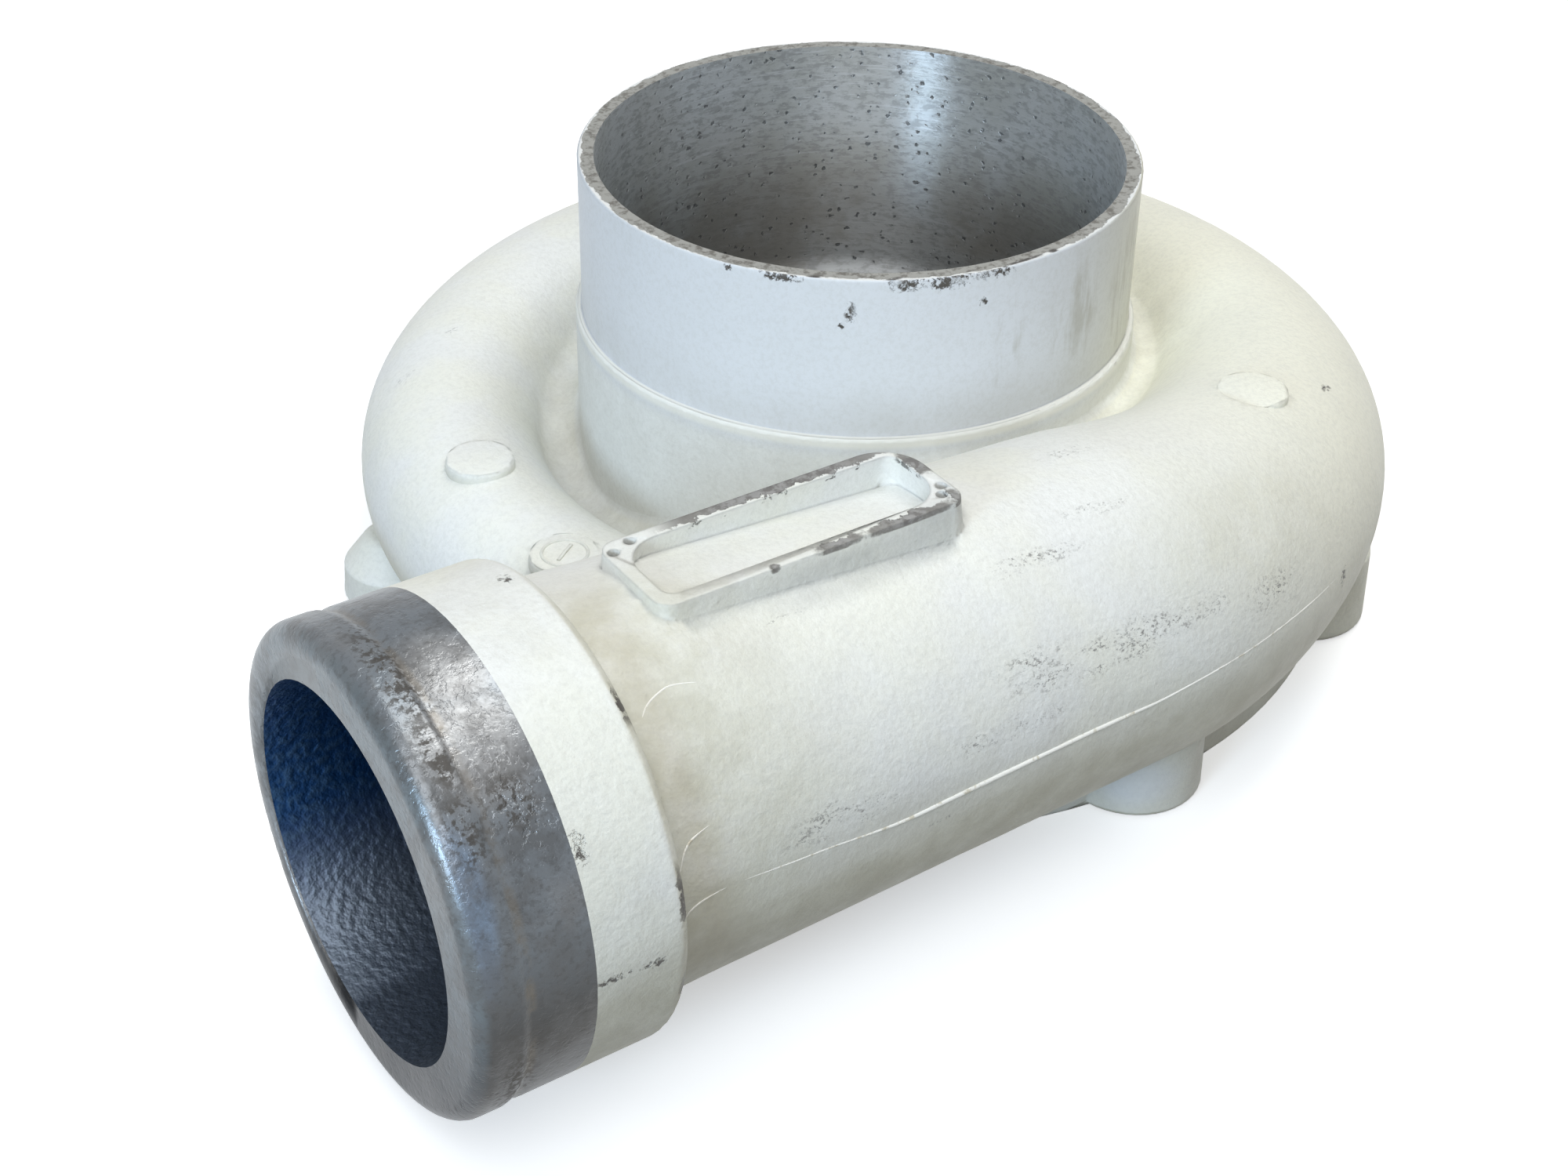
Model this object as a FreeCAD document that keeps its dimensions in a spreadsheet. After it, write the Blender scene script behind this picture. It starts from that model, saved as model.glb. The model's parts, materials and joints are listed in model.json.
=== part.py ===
import FreeCAD, Part
import math
import os

import Sketcher

# Turbo compressor housing, one aluminium sand casting.
# The frame: millimetres, +Z along the wheel axis towards the air inlet, the origin on that axis in the
# plane of the back mounting face. The discharge leaves along -X, on the -Y side. Angles are degrees
# round +Z from +X. Seen from the inlet the air runs clockwise through the scroll, from the tongue
# beside the discharge, round the back, to the throat and out.

SIZES = {
    # Air inlet
    "rim_height": 113.0,
    "inlet_radius": 70.0,
    "inlet_bore_radius": 65.9,
    "rim_chamfer": 0.5,
    "ledge_height": 72.5,
    "ledge_step": 1.6,
    "ledge_round": 1.2,
    # Wheel chamber, open to the back
    "inlet_floor_outer_height": 46.0,
    "inlet_floor_inner_height": 37.0,
    "inlet_floor_round": 8.0,
    "inducer_radius": 42.0,
    "inducer_lip_round": 6.0,
    "shroud_round": 17.0,
    "diffuser_wall_height": 11.5,
    "diffuser_radius": 96.0,
    "diffuser_lip_round": 3.0,
    "diffuser_gap": 8.0,
    "diffuser_gap_top": 27.0,
    "register_radius": 108.0,
    "register_depth": 6.0,
    # Back flange
    "flange_radius": 128.0,
    "flange_thickness": 9.0,
    "flange_round": 2.0,
    "hub_radius": 112.0,
    # Scroll
    "scroll_circle_radius": 103.0,
    "scroll_circle_x": -3.0,
    "scroll_circle_y": -1.5,
    "tongue_angle": 255.0,
    "throat_angle": 0.0,
    "tongue_section_radius": 20.5,
    "throat_section_radius": 28.5,
    "tongue_belly_height": 6.5,
    "throat_belly_height": 13.4,
    "wall": 4.8,
    "valley_floor_height": 28.5,
    "throat_floor_height": 61.0,
    "web_floor_height": 63.0,
    "crotch_floor_height": 45.0,
    # Discharge
    "discharge_offset": 116.0,
    "discharge_height": 55.5,
    "duct_start_radius": 39.6,
    "duct_start_height": 51.6,
    "duct_end_radius": 44.5,
    "duct_end_distance": 156.0,
    "collar_start_distance": 153.6,
    "collar_radius": 50.6,
    "collar_back_round": 3.0,
    "discharge_distance": 198.4,
    "bead_radius": 51.0,
    "bead_width": 9.0,
    "bead_front_round": 4.2,
    "bead_back_round": 3.0,
    "bead_valley_width": 4.0,
    "bead_valley_depth": 0.6,
    "discharge_bore_radius": 39.5,
    "discharge_bore_shift": 1.2,
    # Bolt lugs
    "bolt_circle_radius": 122.5,
    "front_bolt_angle": -91.5,
    "bolt_pitch_angle": 42.0,
    "bolt_hole_radius": 4.25,
    "bolt_hole_depth": 11.0,
    "tall_lug_radius": 17.1,
    "tall_lug_height": 20.0,
    "short_lug_radius": 14.0,
    "short_lug_height": 9.5,
    "lug_draft_step": 0.7,
    "lug_foot_round": 1.4,
    "lug_edge_round": 1.4,
    "lug_crown_height": 8.5,
    "lug_crown_round": 4.0,
    # Raised frame for the rating plate
    "frame_top_height": 100.6,
    "frame_left_distance": 135.3,
    "frame_right_distance": 62.2,
    "frame_back_distance": 101.3,
    "frame_front_distance": 126.8,
    "frame_corner_round": 4.0,
    "frame_end_round": 10.0,
    "frame_wall": 3.2,
    "frame_inner_round": 3.0,
    "frame_screw_corner_round": 8.5,
    "frame_draft_angle": 7.0,
    "frame_root_depth": 16.0,
    "screw_hole_radius": 1.3,
    "screw_hole_depth": 4.0,
    "screw_inset": 2.0,
    "screw_long_inset": 6.8,
    "screw_short_inset": 3.9,
    # Cast pads
    "pad_radius": 8.2,
    "pad_root_depth": 9.0,
    "pad_draft_angle": 3.0,
    "side_pad_height": 54.6,
    "side_pad_angle": 176.0,
    "side_pad_reach": 106.0,
    "tongue_pad_height": 51.4,
    "tongue_pad_angle": 198.5,
    "tongue_pad_reach": 112.5,
    "throat_pad_height": 83.2,
    "throat_pad_angle": -69.0,
    "throat_pad_reach": 111.5,
    "pad_clearing": 4.0,
}

document = FreeCAD.newDocument("compressor_housing")
sheet = document.addObject("Spreadsheet::Sheet", "Sizes")
for row, (alias, value) in enumerate(SIZES.items(), start=1):
    sheet.set("A%d" % row, alias.replace("_", " "))
    sheet.set("B%d" % row, repr(value))
    sheet.setAlias("B%d" % row, alias)
document.recompute()


class Measure:
    """A length that is a number, to draw with, and an expression over the sheet, to bind with."""

    def __init__(self, number, text):
        self.number = number
        self.text = text

    def __add__(self, other):
        other = measure(other)
        return Measure(self.number + other.number, "(%s + %s)" % (self.text, other.text))

    def __sub__(self, other):
        other = measure(other)
        return Measure(self.number - other.number, "(%s - %s)" % (self.text, other.text))

    def __mul__(self, other):
        other = measure(other)
        return Measure(self.number * other.number, "(%s * %s)" % (self.text, other.text))

    def __truediv__(self, other):
        other = measure(other)
        return Measure(self.number / other.number, "(%s / %s)" % (self.text, other.text))

    def __neg__(self):
        return measure(0) - self


def measure(value):
    """A Measure of a sheet alias, a plain number or another Measure."""
    if isinstance(value, Measure):
        return value
    if isinstance(value, str):
        return Measure(sheet.get(value), "Sizes." + value)
    return Measure(float(value), "(%.9f)" % value)


def root(value):
    """The square root of a Measure."""
    return Measure(math.sqrt(value.number), "sqrt(%s)" % value.text)


def cosine(angle):
    """The cosine of a Measure in degrees."""
    return Measure(math.cos(math.radians(angle.number)), "cos(%s * 1 deg)" % angle.text)


def sine(angle):
    """The sine of a Measure in degrees."""
    return Measure(math.sin(math.radians(angle.number)), "sin(%s * 1 deg)" % angle.text)


def between(first, last, share):
    """The Measure that lies at a share of the way from one to another."""
    return measure(first) + (measure(last) - measure(first)) * share


housing = document.addObject("PartDesign::Body", "compressor_housing")
housing.Label = "compressor_housing"


def plane(role):
    """The body's own origin plane of that role."""
    return [part for part in housing.Origin.OriginFeatures if part.Role == role][0]


def sketch_on(name, role, shift=(0, 0, 0), turn=0.0):
    """A new sketch on an origin plane, shifted and turned about its own vertical, in plane axes."""
    sketch = housing.newObject("Sketcher::SketchObject", name)
    sketch.AttachmentSupport = [(plane(role), "")]
    sketch.MapMode = "FlatFace"
    shift = [measure(size) for size in shift]
    turned = FreeCAD.Rotation(FreeCAD.Vector(0, 1, 0), turn)
    sketch.AttachmentOffset = FreeCAD.Placement(FreeCAD.Vector(*[m.number for m in shift]), turned)
    for axis, size in zip("xyz", shift):
        sketch.setExpression("AttachmentOffset.Base." + axis, size.text)
    return sketch


def bind(sketch, kind, elements, size):
    """A dimension in a sketch, driven by the sheet."""
    size = measure(size)
    index = sketch.addConstraint(Sketcher.Constraint(kind, *elements, size.number))
    sketch.setExpression("Constraints[%d]" % index, size.text)


def place_point(sketch, geometry, which, x, y):
    """Dimensions from the sketch's origin to a point of its geometry."""
    for kind, size in (("DistanceX", measure(x)), ("DistanceY", measure(y))):
        bind(sketch, kind, (-1, 1, geometry, which), size)


def arc_in(sketch, middle, radius, start, end):
    """An arc drawn anticlockwise from start to end."""
    first, last = [math.atan2(point.y - middle.y, point.x - middle.x) for point in (start, end)]
    if last < first:
        last += 2 * math.pi
    circle = Part.Circle(middle, FreeCAD.Vector(0, 0, 1), radius)
    return sketch.addGeometry(Part.ArcOfCircle(circle, first, last))


def closed_outline(sketch, corners):
    """Straight sides through corners (x, y) or (x, y, rounding), each place and rounding a Measure."""
    points = [FreeCAD.Vector(measure(c[0]).number, measure(c[1]).number, 0) for c in corners]
    rounds = [measure(c[2]).number if len(c) > 2 else 0.0 for c in corners]
    count = len(points)
    starts, ends, centres = [], [], []
    for k in range(count):
        before = (points[k - 1] - points[k]).normalize()
        after = (points[(k + 1) % count] - points[k]).normalize()
        half = before.getAngle(after) / 2
        reach = rounds[k] / math.tan(half) if rounds[k] else 0.0
        ends.append(points[k] + before * reach)
        starts.append(points[k] + after * reach)
        middle = (before + after).normalize()
        centres.append(points[k] + middle * (rounds[k] / math.sin(half)) if rounds[k] else None)
    sides = [
        sketch.addGeometry(Part.LineSegment(starts[k], ends[(k + 1) % count])) for k in range(count)
    ]
    for k, corner in enumerate(corners):
        marker = sketch.addGeometry(Part.Point(points[k]), True)
        place_point(sketch, marker, 1, corner[0], corner[1])
        side_in, side_out = sides[k - 1], sides[k]
        if not rounds[k]:
            sketch.addConstraint(Sketcher.Constraint("Coincident", side_in, 2, marker, 1))
            sketch.addConstraint(Sketcher.Constraint("Coincident", side_out, 1, marker, 1))
            continue
        turning = (points[k] - points[k - 1]).cross(points[(k + 1) % count] - points[k]).z
        if turning > 0:
            arc = arc_in(sketch, centres[k], rounds[k], ends[k], starts[k])
        else:
            arc = arc_in(sketch, centres[k], rounds[k], starts[k], ends[k])
        first, last = (1, 2) if turning > 0 else (2, 1)
        sketch.addConstraint(Sketcher.Constraint("Tangent", side_in, 2, arc, first))
        sketch.addConstraint(Sketcher.Constraint("Tangent", side_out, 1, arc, last))
        sketch.addConstraint(Sketcher.Constraint("PointOnObject", marker, 1, side_in))
        sketch.addConstraint(Sketcher.Constraint("PointOnObject", marker, 1, side_out))
        bind(sketch, "Radius", (arc,), corner[2])


def circle_in(sketch, x, y, radius):
    """A circle whose centre and radius are Measures."""
    middle = FreeCAD.Vector(measure(x).number, measure(y).number, 0)
    normal = FreeCAD.Vector(0, 0, 1)
    index = sketch.addGeometry(Part.Circle(middle, normal, measure(radius).number))
    place_point(sketch, index, 3, x, y)
    bind(sketch, "Radius", (index,), radius)


def feature(kind, name, profile, **settings):
    """A feature of the housing made from a sketch, which becomes the tip."""
    made = housing.newObject("PartDesign::" + kind, name)
    made.Profile = profile
    for setting, value in settings.items():
        setattr(made, setting, value)
    profile.Visibility = False
    housing.Tip = made
    return made


# Core
# The stem with the machined hose spigot, the back flange and the hub between them, turned about the
# wheel axis. It is solid here: the bores are cut after everything is joined.

stem_radius = measure("inlet_radius") + "ledge_step"

core_profile = sketch_on("core_profile", "XZ_Plane")
closed_outline(
    core_profile,
    [
        (0, 0),
        ("flange_radius", 0),
        ("flange_radius", "flange_thickness", "flange_round"),
        ("hub_radius", "flange_thickness"),
        ("hub_radius", "valley_floor_height"),
        (stem_radius, "valley_floor_height"),
        (stem_radius, "ledge_height", "ledge_round"),
        ("inlet_radius", "ledge_height"),
        ("inlet_radius", measure("rim_height") - "rim_chamfer"),
        (measure("inlet_radius") - "rim_chamfer", "rim_height"),
        (0, "rim_height"),
    ],
)
core = feature("Revolution", "core", core_profile, ReferenceAxis=(core_profile, ["V_Axis"]), Angle=360.0)


# Scroll centre line
# An eccentric circle from the tongue to the throat, then one arc that carries the section over to the
# discharge axis, then a straight line. A station is a place on it with a plane across it.

wrap = measure("tongue_angle") - "throat_angle"
throat_y = measure("scroll_circle_y") + measure("scroll_circle_radius") * sine(measure("throat_angle"))
throat_x = measure("scroll_circle_x") + measure("scroll_circle_radius") * cosine(measure("throat_angle"))
turn_cosine = measure(0) - sine(measure("throat_angle"))
exit_arc_radius = (throat_y + "discharge_offset") / (measure(1) - turn_cosine)
exit_centre_x = throat_x - exit_arc_radius * cosine(measure("throat_angle"))
exit_centre_y = throat_y - exit_arc_radius * sine(measure("throat_angle"))


class Station:
    """A vertical plane across the centre line, with its section's circle and its valley floor."""

    def __init__(self, origin_x, origin_y, angle, centre, height, radius, floor):
        self.origin = (measure(origin_x), measure(origin_y))
        self.angle = angle
        self.centre = measure(centre)
        self.height = measure(height)
        self.radius = measure(radius)
        self.floor = measure(floor)

    def sketch(self, name):
        """A sketch in the station's plane: x runs out from the wheel axis, y runs up."""
        return sketch_on(name, "XZ_Plane", (self.origin[0], 0, -self.origin[1]), self.angle)

    def stem_face(self):
        """How far along the plane the stem's surface stands."""
        along = self.origin[0] * math.cos(math.radians(self.angle)) + self.origin[1] * math.sin(
            math.radians(self.angle)
        )
        square = stem_radius * stem_radius - self.origin[0] * self.origin[0] - self.origin[1] * self.origin[1]
        return root(square + along * along) - along

    def valley(self):
        """The radius of a hollow round that touches the circle and the stem and reaches the floor."""
        across = self.centre - self.stem_face()
        rise = self.floor - self.height
        middle = self.radius * 2 + across * (2 * FILLET_REACH) - rise * 2
        rest = across * across + rise * rise - self.radius * self.radius
        return (middle - root(middle * middle - rest * (4 * FILLET_REACH ** 2))) / (2 * FILLET_REACH ** 2)


def scroll_station(angle):
    """A station on the eccentric circle. The section grows in step with the angle to the throat."""
    share = (measure("tongue_angle") - angle) / wrap
    radius = between("tongue_section_radius", "throat_section_radius", share)
    belly = between("tongue_belly_height", "throat_belly_height", share * share)
    if angle > LOWEST_ANGLE:
        rising = min((angle - LOWEST_ANGLE) / (HIGHEST_ANGLE - LOWEST_ANGLE), 1.0)
        eased = math.sin(rising * math.pi / 2) ** 2
        floor = between("valley_floor_height", "crotch_floor_height", eased)
    else:
        rising = (LOWEST_ANGLE - angle) / (LOWEST_ANGLE - throat)
        floor = between("valley_floor_height", "throat_floor_height", rising**FLOOR_CURVE)
    return Station(
        "scroll_circle_x", "scroll_circle_y", angle, "scroll_circle_radius", radius + belly, radius, floor
    )


def exit_station(share):
    """A station on the arc between the throat and the straight discharge."""
    angle = throat - (90.0 + throat) * share
    radius = between("throat_section_radius", "duct_start_radius", share**EXIT_CURVE)
    throat_height = measure("throat_section_radius") + "throat_belly_height"
    height = between(throat_height, "duct_start_height", share)
    floor = between("throat_floor_height", "web_floor_height", share)
    return Station(exit_centre_x, exit_centre_y, angle, exit_arc_radius, height, radius, floor)


def straight_station(share, drop=0.0):
    """A station at a share of the way from the end of the arc to the collar."""
    x = between(exit_centre_x, -measure("duct_end_distance"), share)
    radius = between("duct_start_radius", "duct_end_radius", share)
    height = between("duct_start_height", "discharge_height", share)
    return Station(x, 0, -90.0, "discharge_offset", height, radius, measure("web_floor_height") - drop)


tongue = measure("tongue_angle").number
throat = measure("throat_angle").number

# How fast the section and the valley floor grow along the centre line, as powers of the way gone.
EXIT_CURVE = 1.7
FLOOR_CURVE = 0.66
# Between these angles the valley floor climbs towards the tongue.
LOWEST_ANGLE = 165.0
HIGHEST_ANGLE = 240.0
# The hollow fillet's centre and upper end, as shares of its radius, and how deep the section goes into
# the stem.
FILLET_REACH = 0.9
FILLET_END = 0.97
STEM_BITE = 5.0
# Where the section's circle gives way to the straight underside, hidden behind the hub.
BELLY_ANGLE = 225.0
SECTION_FOOT = 14.0


def section_sketch(name, station):
    """The scroll's outside at a station: its circle, faired into the stem by a hollow fillet."""
    sketch = station.sketch(name)
    face = station.stem_face()
    valley = station.valley()
    foot_x = face - STEM_BITE
    fillet_x = face + valley * FILLET_REACH
    reach = (station.radius + valley).number
    across = station.centre.number - fillet_x.number
    fillet_y = station.height.number + math.sqrt(reach * reach - across * across)
    middle = FreeCAD.Vector(station.centre.number, station.height.number, 0)
    hollow = FreeCAD.Vector(fillet_x.number, fillet_y, 0)
    touch = middle + (hollow - middle) * (station.radius.number / reach)
    top_x = fillet_x - valley * FILLET_END
    top_drop = valley.number * math.sqrt(1 - FILLET_END**2)
    top = FreeCAD.Vector(top_x.number, fillet_y - top_drop, 0)
    inside = FreeCAD.Vector(foot_x.number, top.y, 0)
    belly = math.radians(BELLY_ANGLE)
    under = middle + FreeCAD.Vector(math.cos(belly), math.sin(belly), 0) * station.radius.number
    foot = FreeCAD.Vector(foot_x.number, SECTION_FOOT, 0)
    fillet = arc_in(sketch, hollow, valley.number, top, touch)
    round_side = arc_in(sketch, middle, station.radius.number, under, touch)
    floor = sketch.addGeometry(Part.LineSegment(under, foot))
    rise = sketch.addGeometry(Part.LineSegment(foot, inside))
    shelf = sketch.addGeometry(Part.LineSegment(inside, top))
    sketch.addConstraint(Sketcher.Constraint("Tangent", fillet, 2, round_side, 2))
    sketch.addConstraint(Sketcher.Constraint("Coincident", round_side, 1, floor, 1))
    sketch.addConstraint(Sketcher.Constraint("Coincident", floor, 2, rise, 1))
    sketch.addConstraint(Sketcher.Constraint("Coincident", rise, 2, shelf, 1))
    sketch.addConstraint(Sketcher.Constraint("Coincident", shelf, 2, fillet, 1))
    sketch.addConstraint(Sketcher.Constraint("Vertical", rise))
    sketch.addConstraint(Sketcher.Constraint("Horizontal", shelf))
    bind(sketch, "DistanceX", (-1, 1, shelf, 2), top_x)
    place_point(sketch, round_side, 3, station.centre, station.height)
    bind(sketch, "Radius", (round_side,), station.radius)
    bind(sketch, "DistanceX", (-1, 1, fillet, 3), fillet_x)
    bind(sketch, "Radius", (fillet,), valley)
    bind(sketch, "DistanceX", (-1, 1, floor, 1), station.centre + station.radius * math.cos(belly))
    place_point(sketch, floor, 2, foot_x, SECTION_FOOT)
    return sketch


def circle_sketch(name, station, inset=0.0):
    """A full circle at a station, inset from the section's circle by a wall."""
    sketch = station.sketch(name)
    circle_in(sketch, station.centre, station.height, station.radius - inset)
    return sketch


def loft(kind, name, sketches):
    """A smooth loft through sketches, in order."""
    made = feature(kind, name, sketches[0], Sections=sketches[1:], Refine=False)
    for sketch in sketches:
        sketch.Visibility = False
    return made


# Scroll
# The straight discharge, then one loft from the tongue to the end of the bend, then the web that fills
# the crotch between the discharge and the stem.

SCROLL_STEPS = 14
EXIT_STEPS = 5
# The web's stations: a share of the way along the straight, and how far its valley floor has dropped.
WEB_END = 0.371
WEB_DROPS = ((0.0, 0.0), (0.12, 1.0), (0.25, 14.0), (WEB_END, 34.5))


def wrap_stations(start, steps):
    """Evenly spaced stations from an angle on the eccentric circle up to the throat."""
    return [scroll_station(start + (throat - start) * k / steps) for k in range(steps)]


exit_stations = [exit_station(k / EXIT_STEPS) for k in range(EXIT_STEPS + 1)]

duct_stations = [straight_station(share) for share in (WEB_END, (WEB_END + 1.0) / 2, 1.0)]
duct = loft(
    "AdditiveLoft",
    "duct",
    [circle_sketch("duct_section_%d" % k, s) for k, s in enumerate(duct_stations)],
)
scroll = loft(
    "AdditiveLoft",
    "scroll",
    [
        section_sketch("scroll_section_%d" % k, s)
        for k, s in enumerate(wrap_stations(tongue, SCROLL_STEPS) + exit_stations)
    ],
)
web_stations = [straight_station(share, drop) for share, drop in WEB_DROPS]
web = loft(
    "AdditiveLoft",
    "web",
    [section_sketch("web_section_%d" % k, s) for k, s in enumerate(web_stations)],
)


# Discharge collar
# The thick end of the discharge with the bead that holds the hose, turned about the discharge axis.

collar_profile = sketch_on(
    "collar_profile", "XY_Plane", (0, -measure("discharge_offset"), "discharge_height")
)
collar_start = -measure("collar_start_distance")
collar_face = -measure("discharge_distance")
bead_start = collar_face + "bead_width"
valley_middle = bead_start + measure("bead_valley_width") / 2
closed_outline(
    collar_profile,
    [
        (collar_start, 0),
        (collar_start, "collar_radius", "collar_back_round"),
        (bead_start + "bead_valley_width", "collar_radius"),
        (valley_middle, measure("collar_radius") - "bead_valley_depth"),
        (bead_start, "bead_radius", "bead_back_round"),
        (collar_face, "bead_radius", "bead_front_round"),
        (collar_face, 0),
    ],
)
collar = feature(
    "Revolution", "collar", collar_profile, ReferenceAxis=(collar_profile, ["H_Axis"]), Angle=360.0
)


# Bolt lugs
# Eight drafted bosses on the flange. The four under the large end of the scroll are tall and run up
# into its belly. The others are short, with a crown that slopes up to the scroll.

LUG_CROWN_SHARE = 0.5
TALL_LUGS = 4
SHORT_LUGS = 3
BOLTS_IN_ROW = TALL_LUGS + SHORT_LUGS
FULL_TURN = 360.0
bolt_pitch = measure("bolt_pitch_angle")
front_angle = measure("front_bolt_angle")
side_angle = front_angle + bolt_pitch * TALL_LUGS
gap_angle = front_angle + (bolt_pitch * (BOLTS_IN_ROW - 1) + FULL_TURN) / 2


def bolt_sketch(name, angle):
    """A sketch that stands on the flange face with its vertical on a bolt's axis."""
    reach = measure("bolt_circle_radius")
    shift = (reach * cosine(angle), 0, measure(0) - reach * sine(angle))
    return sketch_on(name, "XZ_Plane", shift, angle.number)


def lug(name, angle, radius, height):
    """A boss turned about a bolt's axis, with a rounded foot, draft and a sloping crown."""
    profile = bolt_sketch(name + "_profile", angle)
    closed_outline(
        profile,
        [
            (0, 0),
            (radius, 0, "lug_foot_round"),
            (measure(radius) - "lug_draft_step", height, "lug_edge_round"),
            (measure(radius) * LUG_CROWN_SHARE, measure(height) + "lug_crown_height", "lug_crown_round"),
            (0, measure(height) + "lug_crown_height"),
        ],
    )
    return feature("Revolution", name, profile, ReferenceAxis=(profile, ["V_Axis"]), Angle=360.0)


def bolt_row(name, original, count):
    """The original repeated round the wheel axis at the bolt pitch."""
    pattern = housing.newObject("PartDesign::PolarPattern", name)
    pattern.Originals = [original]
    pattern.Axis = (plane("Z_Axis"), [""])
    pattern.Occurrences = count
    pattern.Angle = bolt_pitch.number * (count - 1)
    pattern.setExpression("Angle", "%s * %d" % (bolt_pitch.text, count - 1))
    housing.Tip = pattern
    return pattern


tall_lug = lug("tall_lug", front_angle, "tall_lug_radius", "tall_lug_height")
tall_lugs = bolt_row("tall_lugs", tall_lug, TALL_LUGS)
short_lug = lug("short_lug", side_angle, "short_lug_radius", "short_lug_height")
short_lugs = bolt_row("short_lugs", short_lug, SHORT_LUGS)
gap_lug = lug("gap_lug", gap_angle, "short_lug_radius", "short_lug_height")


# Frame for the rating plate
# A drafted wall round a shallow recess on top of the discharge, whose skin is the recess's floor.
# Two opposite corners are filled in for the two pairs of drive screws.

frame_left = -measure("frame_left_distance")
frame_right = -measure("frame_right_distance")
frame_back = -measure("frame_back_distance")
frame_front = -measure("frame_front_distance")

frame_outline = sketch_on("frame_outline", "XY_Plane", (0, 0, "frame_top_height"))
closed_outline(
    frame_outline,
    [
        (frame_left, frame_front, "frame_corner_round"),
        (frame_right, frame_front, "frame_corner_round"),
        (frame_right, frame_back, "frame_end_round"),
        (frame_left, frame_back, "frame_corner_round"),
    ],
)
closed_outline(
    frame_outline,
    [
        (frame_left + "frame_wall", frame_front + "frame_wall", "frame_inner_round"),
        (frame_right - "frame_wall", frame_front + "frame_wall", "frame_screw_corner_round"),
        (frame_right - "frame_wall", frame_back - "frame_wall", "frame_inner_round"),
        (frame_left + "frame_wall", frame_back - "frame_wall", "frame_screw_corner_round"),
    ],
)
frame = feature(
    "Pad",
    "frame",
    frame_outline,
    Length=measure("frame_root_depth").number,
    TaperAngle=measure("frame_draft_angle").number,
    Reversed=True,
)
frame.setExpression("Length", "Sizes.frame_root_depth")
frame.setExpression("TaperAngle", "Sizes.frame_draft_angle")


# Cast pads
# Three low round discs on the crest of the scroll, level where the scroll slopes away.

for name in ("side_pad", "tongue_pad", "throat_pad"):
    height = measure(name + "_height")
    pad_x = measure(name + "_reach") * cosine(measure(name + "_angle"))
    pad_y = measure(name + "_reach") * sine(measure(name + "_angle"))
    outline = sketch_on(name + "_outline", "XY_Plane", (0, 0, height))
    circle_in(outline, pad_x, pad_y, "pad_radius")
    pad = feature("Pad", name, outline, Reversed=True)
    pad.Length = measure("pad_root_depth").number
    pad.TaperAngle = measure("pad_draft_angle").number
    pad.setExpression("Length", "Sizes.pad_root_depth")
    pad.setExpression("TaperAngle", "Sizes.pad_draft_angle")
    clearing = sketch_on(name + "_clearing_outline", "XY_Plane", (0, 0, height))
    circle_in(clearing, pad_x, pad_y, "pad_radius")
    cleared = feature("Pocket", name + "_clearing", clearing, Reversed=True)
    cleared.Length = measure("pad_clearing").number
    cleared.setExpression("Length", "Sizes.pad_clearing")


# Air passage
# The sand core's space: round sections one wall inside the scroll, from the tongue to the collar, and
# the machined bore that carries them on to the discharge face.

PASSAGE_START = 238.0
PASSAGE_STEPS = 13

passage = loft(
    "SubtractiveLoft",
    "passage",
    [
        circle_sketch("passage_section_%d" % k, s, "wall")
        for k, s in enumerate(wrap_stations(PASSAGE_START, PASSAGE_STEPS) + exit_stations)
    ],
)
straight_stations = [straight_station(share) for share in (0.0, 0.5, 1.0)]
straight_passage = loft(
    "SubtractiveLoft",
    "straight_passage",
    [circle_sketch("straight_passage_%d" % k, s, "wall") for k, s in enumerate(straight_stations)],
)
discharge_place = (-measure("discharge_offset"), "discharge_height", -measure("duct_end_distance"))
discharge_circle = sketch_on("discharge_circle", "YZ_Plane", discharge_place)
circle_in(discharge_circle, "discharge_bore_shift", 0, "discharge_bore_radius")
discharge_bore = feature("Pocket", "discharge_bore", discharge_circle, Type="ThroughAll")


# Inlet bore, shroud and diffuser
# One turned cut: the hose bore, the bell mouth into the inducer, the shroud the wheel runs in, the flat
# diffuser wall, the ring gap that opens up into the scroll, and the register for the back plate.

chamber_profile = sketch_on("chamber_profile", "XZ_Plane")
gap_radius = measure("diffuser_radius") + "diffuser_gap"
closed_outline(
    chamber_profile,
    [
        (0, 0),
        ("register_radius", 0),
        ("register_radius", "register_depth"),
        (gap_radius, "register_depth"),
        (gap_radius, "diffuser_gap_top"),
        ("diffuser_radius", "diffuser_gap_top"),
        ("diffuser_radius", "diffuser_wall_height", "diffuser_lip_round"),
        ("inducer_radius", "diffuser_wall_height", "shroud_round"),
        ("inducer_radius", "inlet_floor_inner_height", "inducer_lip_round"),
        ("inlet_bore_radius", "inlet_floor_outer_height", "inlet_floor_round"),
        ("inlet_bore_radius", "rim_height"),
        (0, "rim_height"),
    ],
)
chamber = feature(
    "Groove", "chamber", chamber_profile, ReferenceAxis=(chamber_profile, ["V_Axis"]), Angle=360.0
)


# Tapped holes
# Blind holes with a drill point, one in each lug, cut from the back.

DRILL_POINT_ANGLE = 31.0
DRILL_POINT_SLOPE = math.tan(math.radians(DRILL_POINT_ANGLE))


def bolt_hole(name, angle):
    """A blind drilled hole up a bolt's axis."""
    profile = bolt_sketch(name + "_profile", angle)
    point = measure("bolt_hole_radius") * DRILL_POINT_SLOPE
    closed_outline(
        profile,
        [
            (0, 0),
            ("bolt_hole_radius", 0),
            ("bolt_hole_radius", "bolt_hole_depth"),
            (0, measure("bolt_hole_depth") + point),
        ],
    )
    return feature("Groove", name, profile, ReferenceAxis=(profile, ["V_Axis"]), Angle=360.0)


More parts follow.
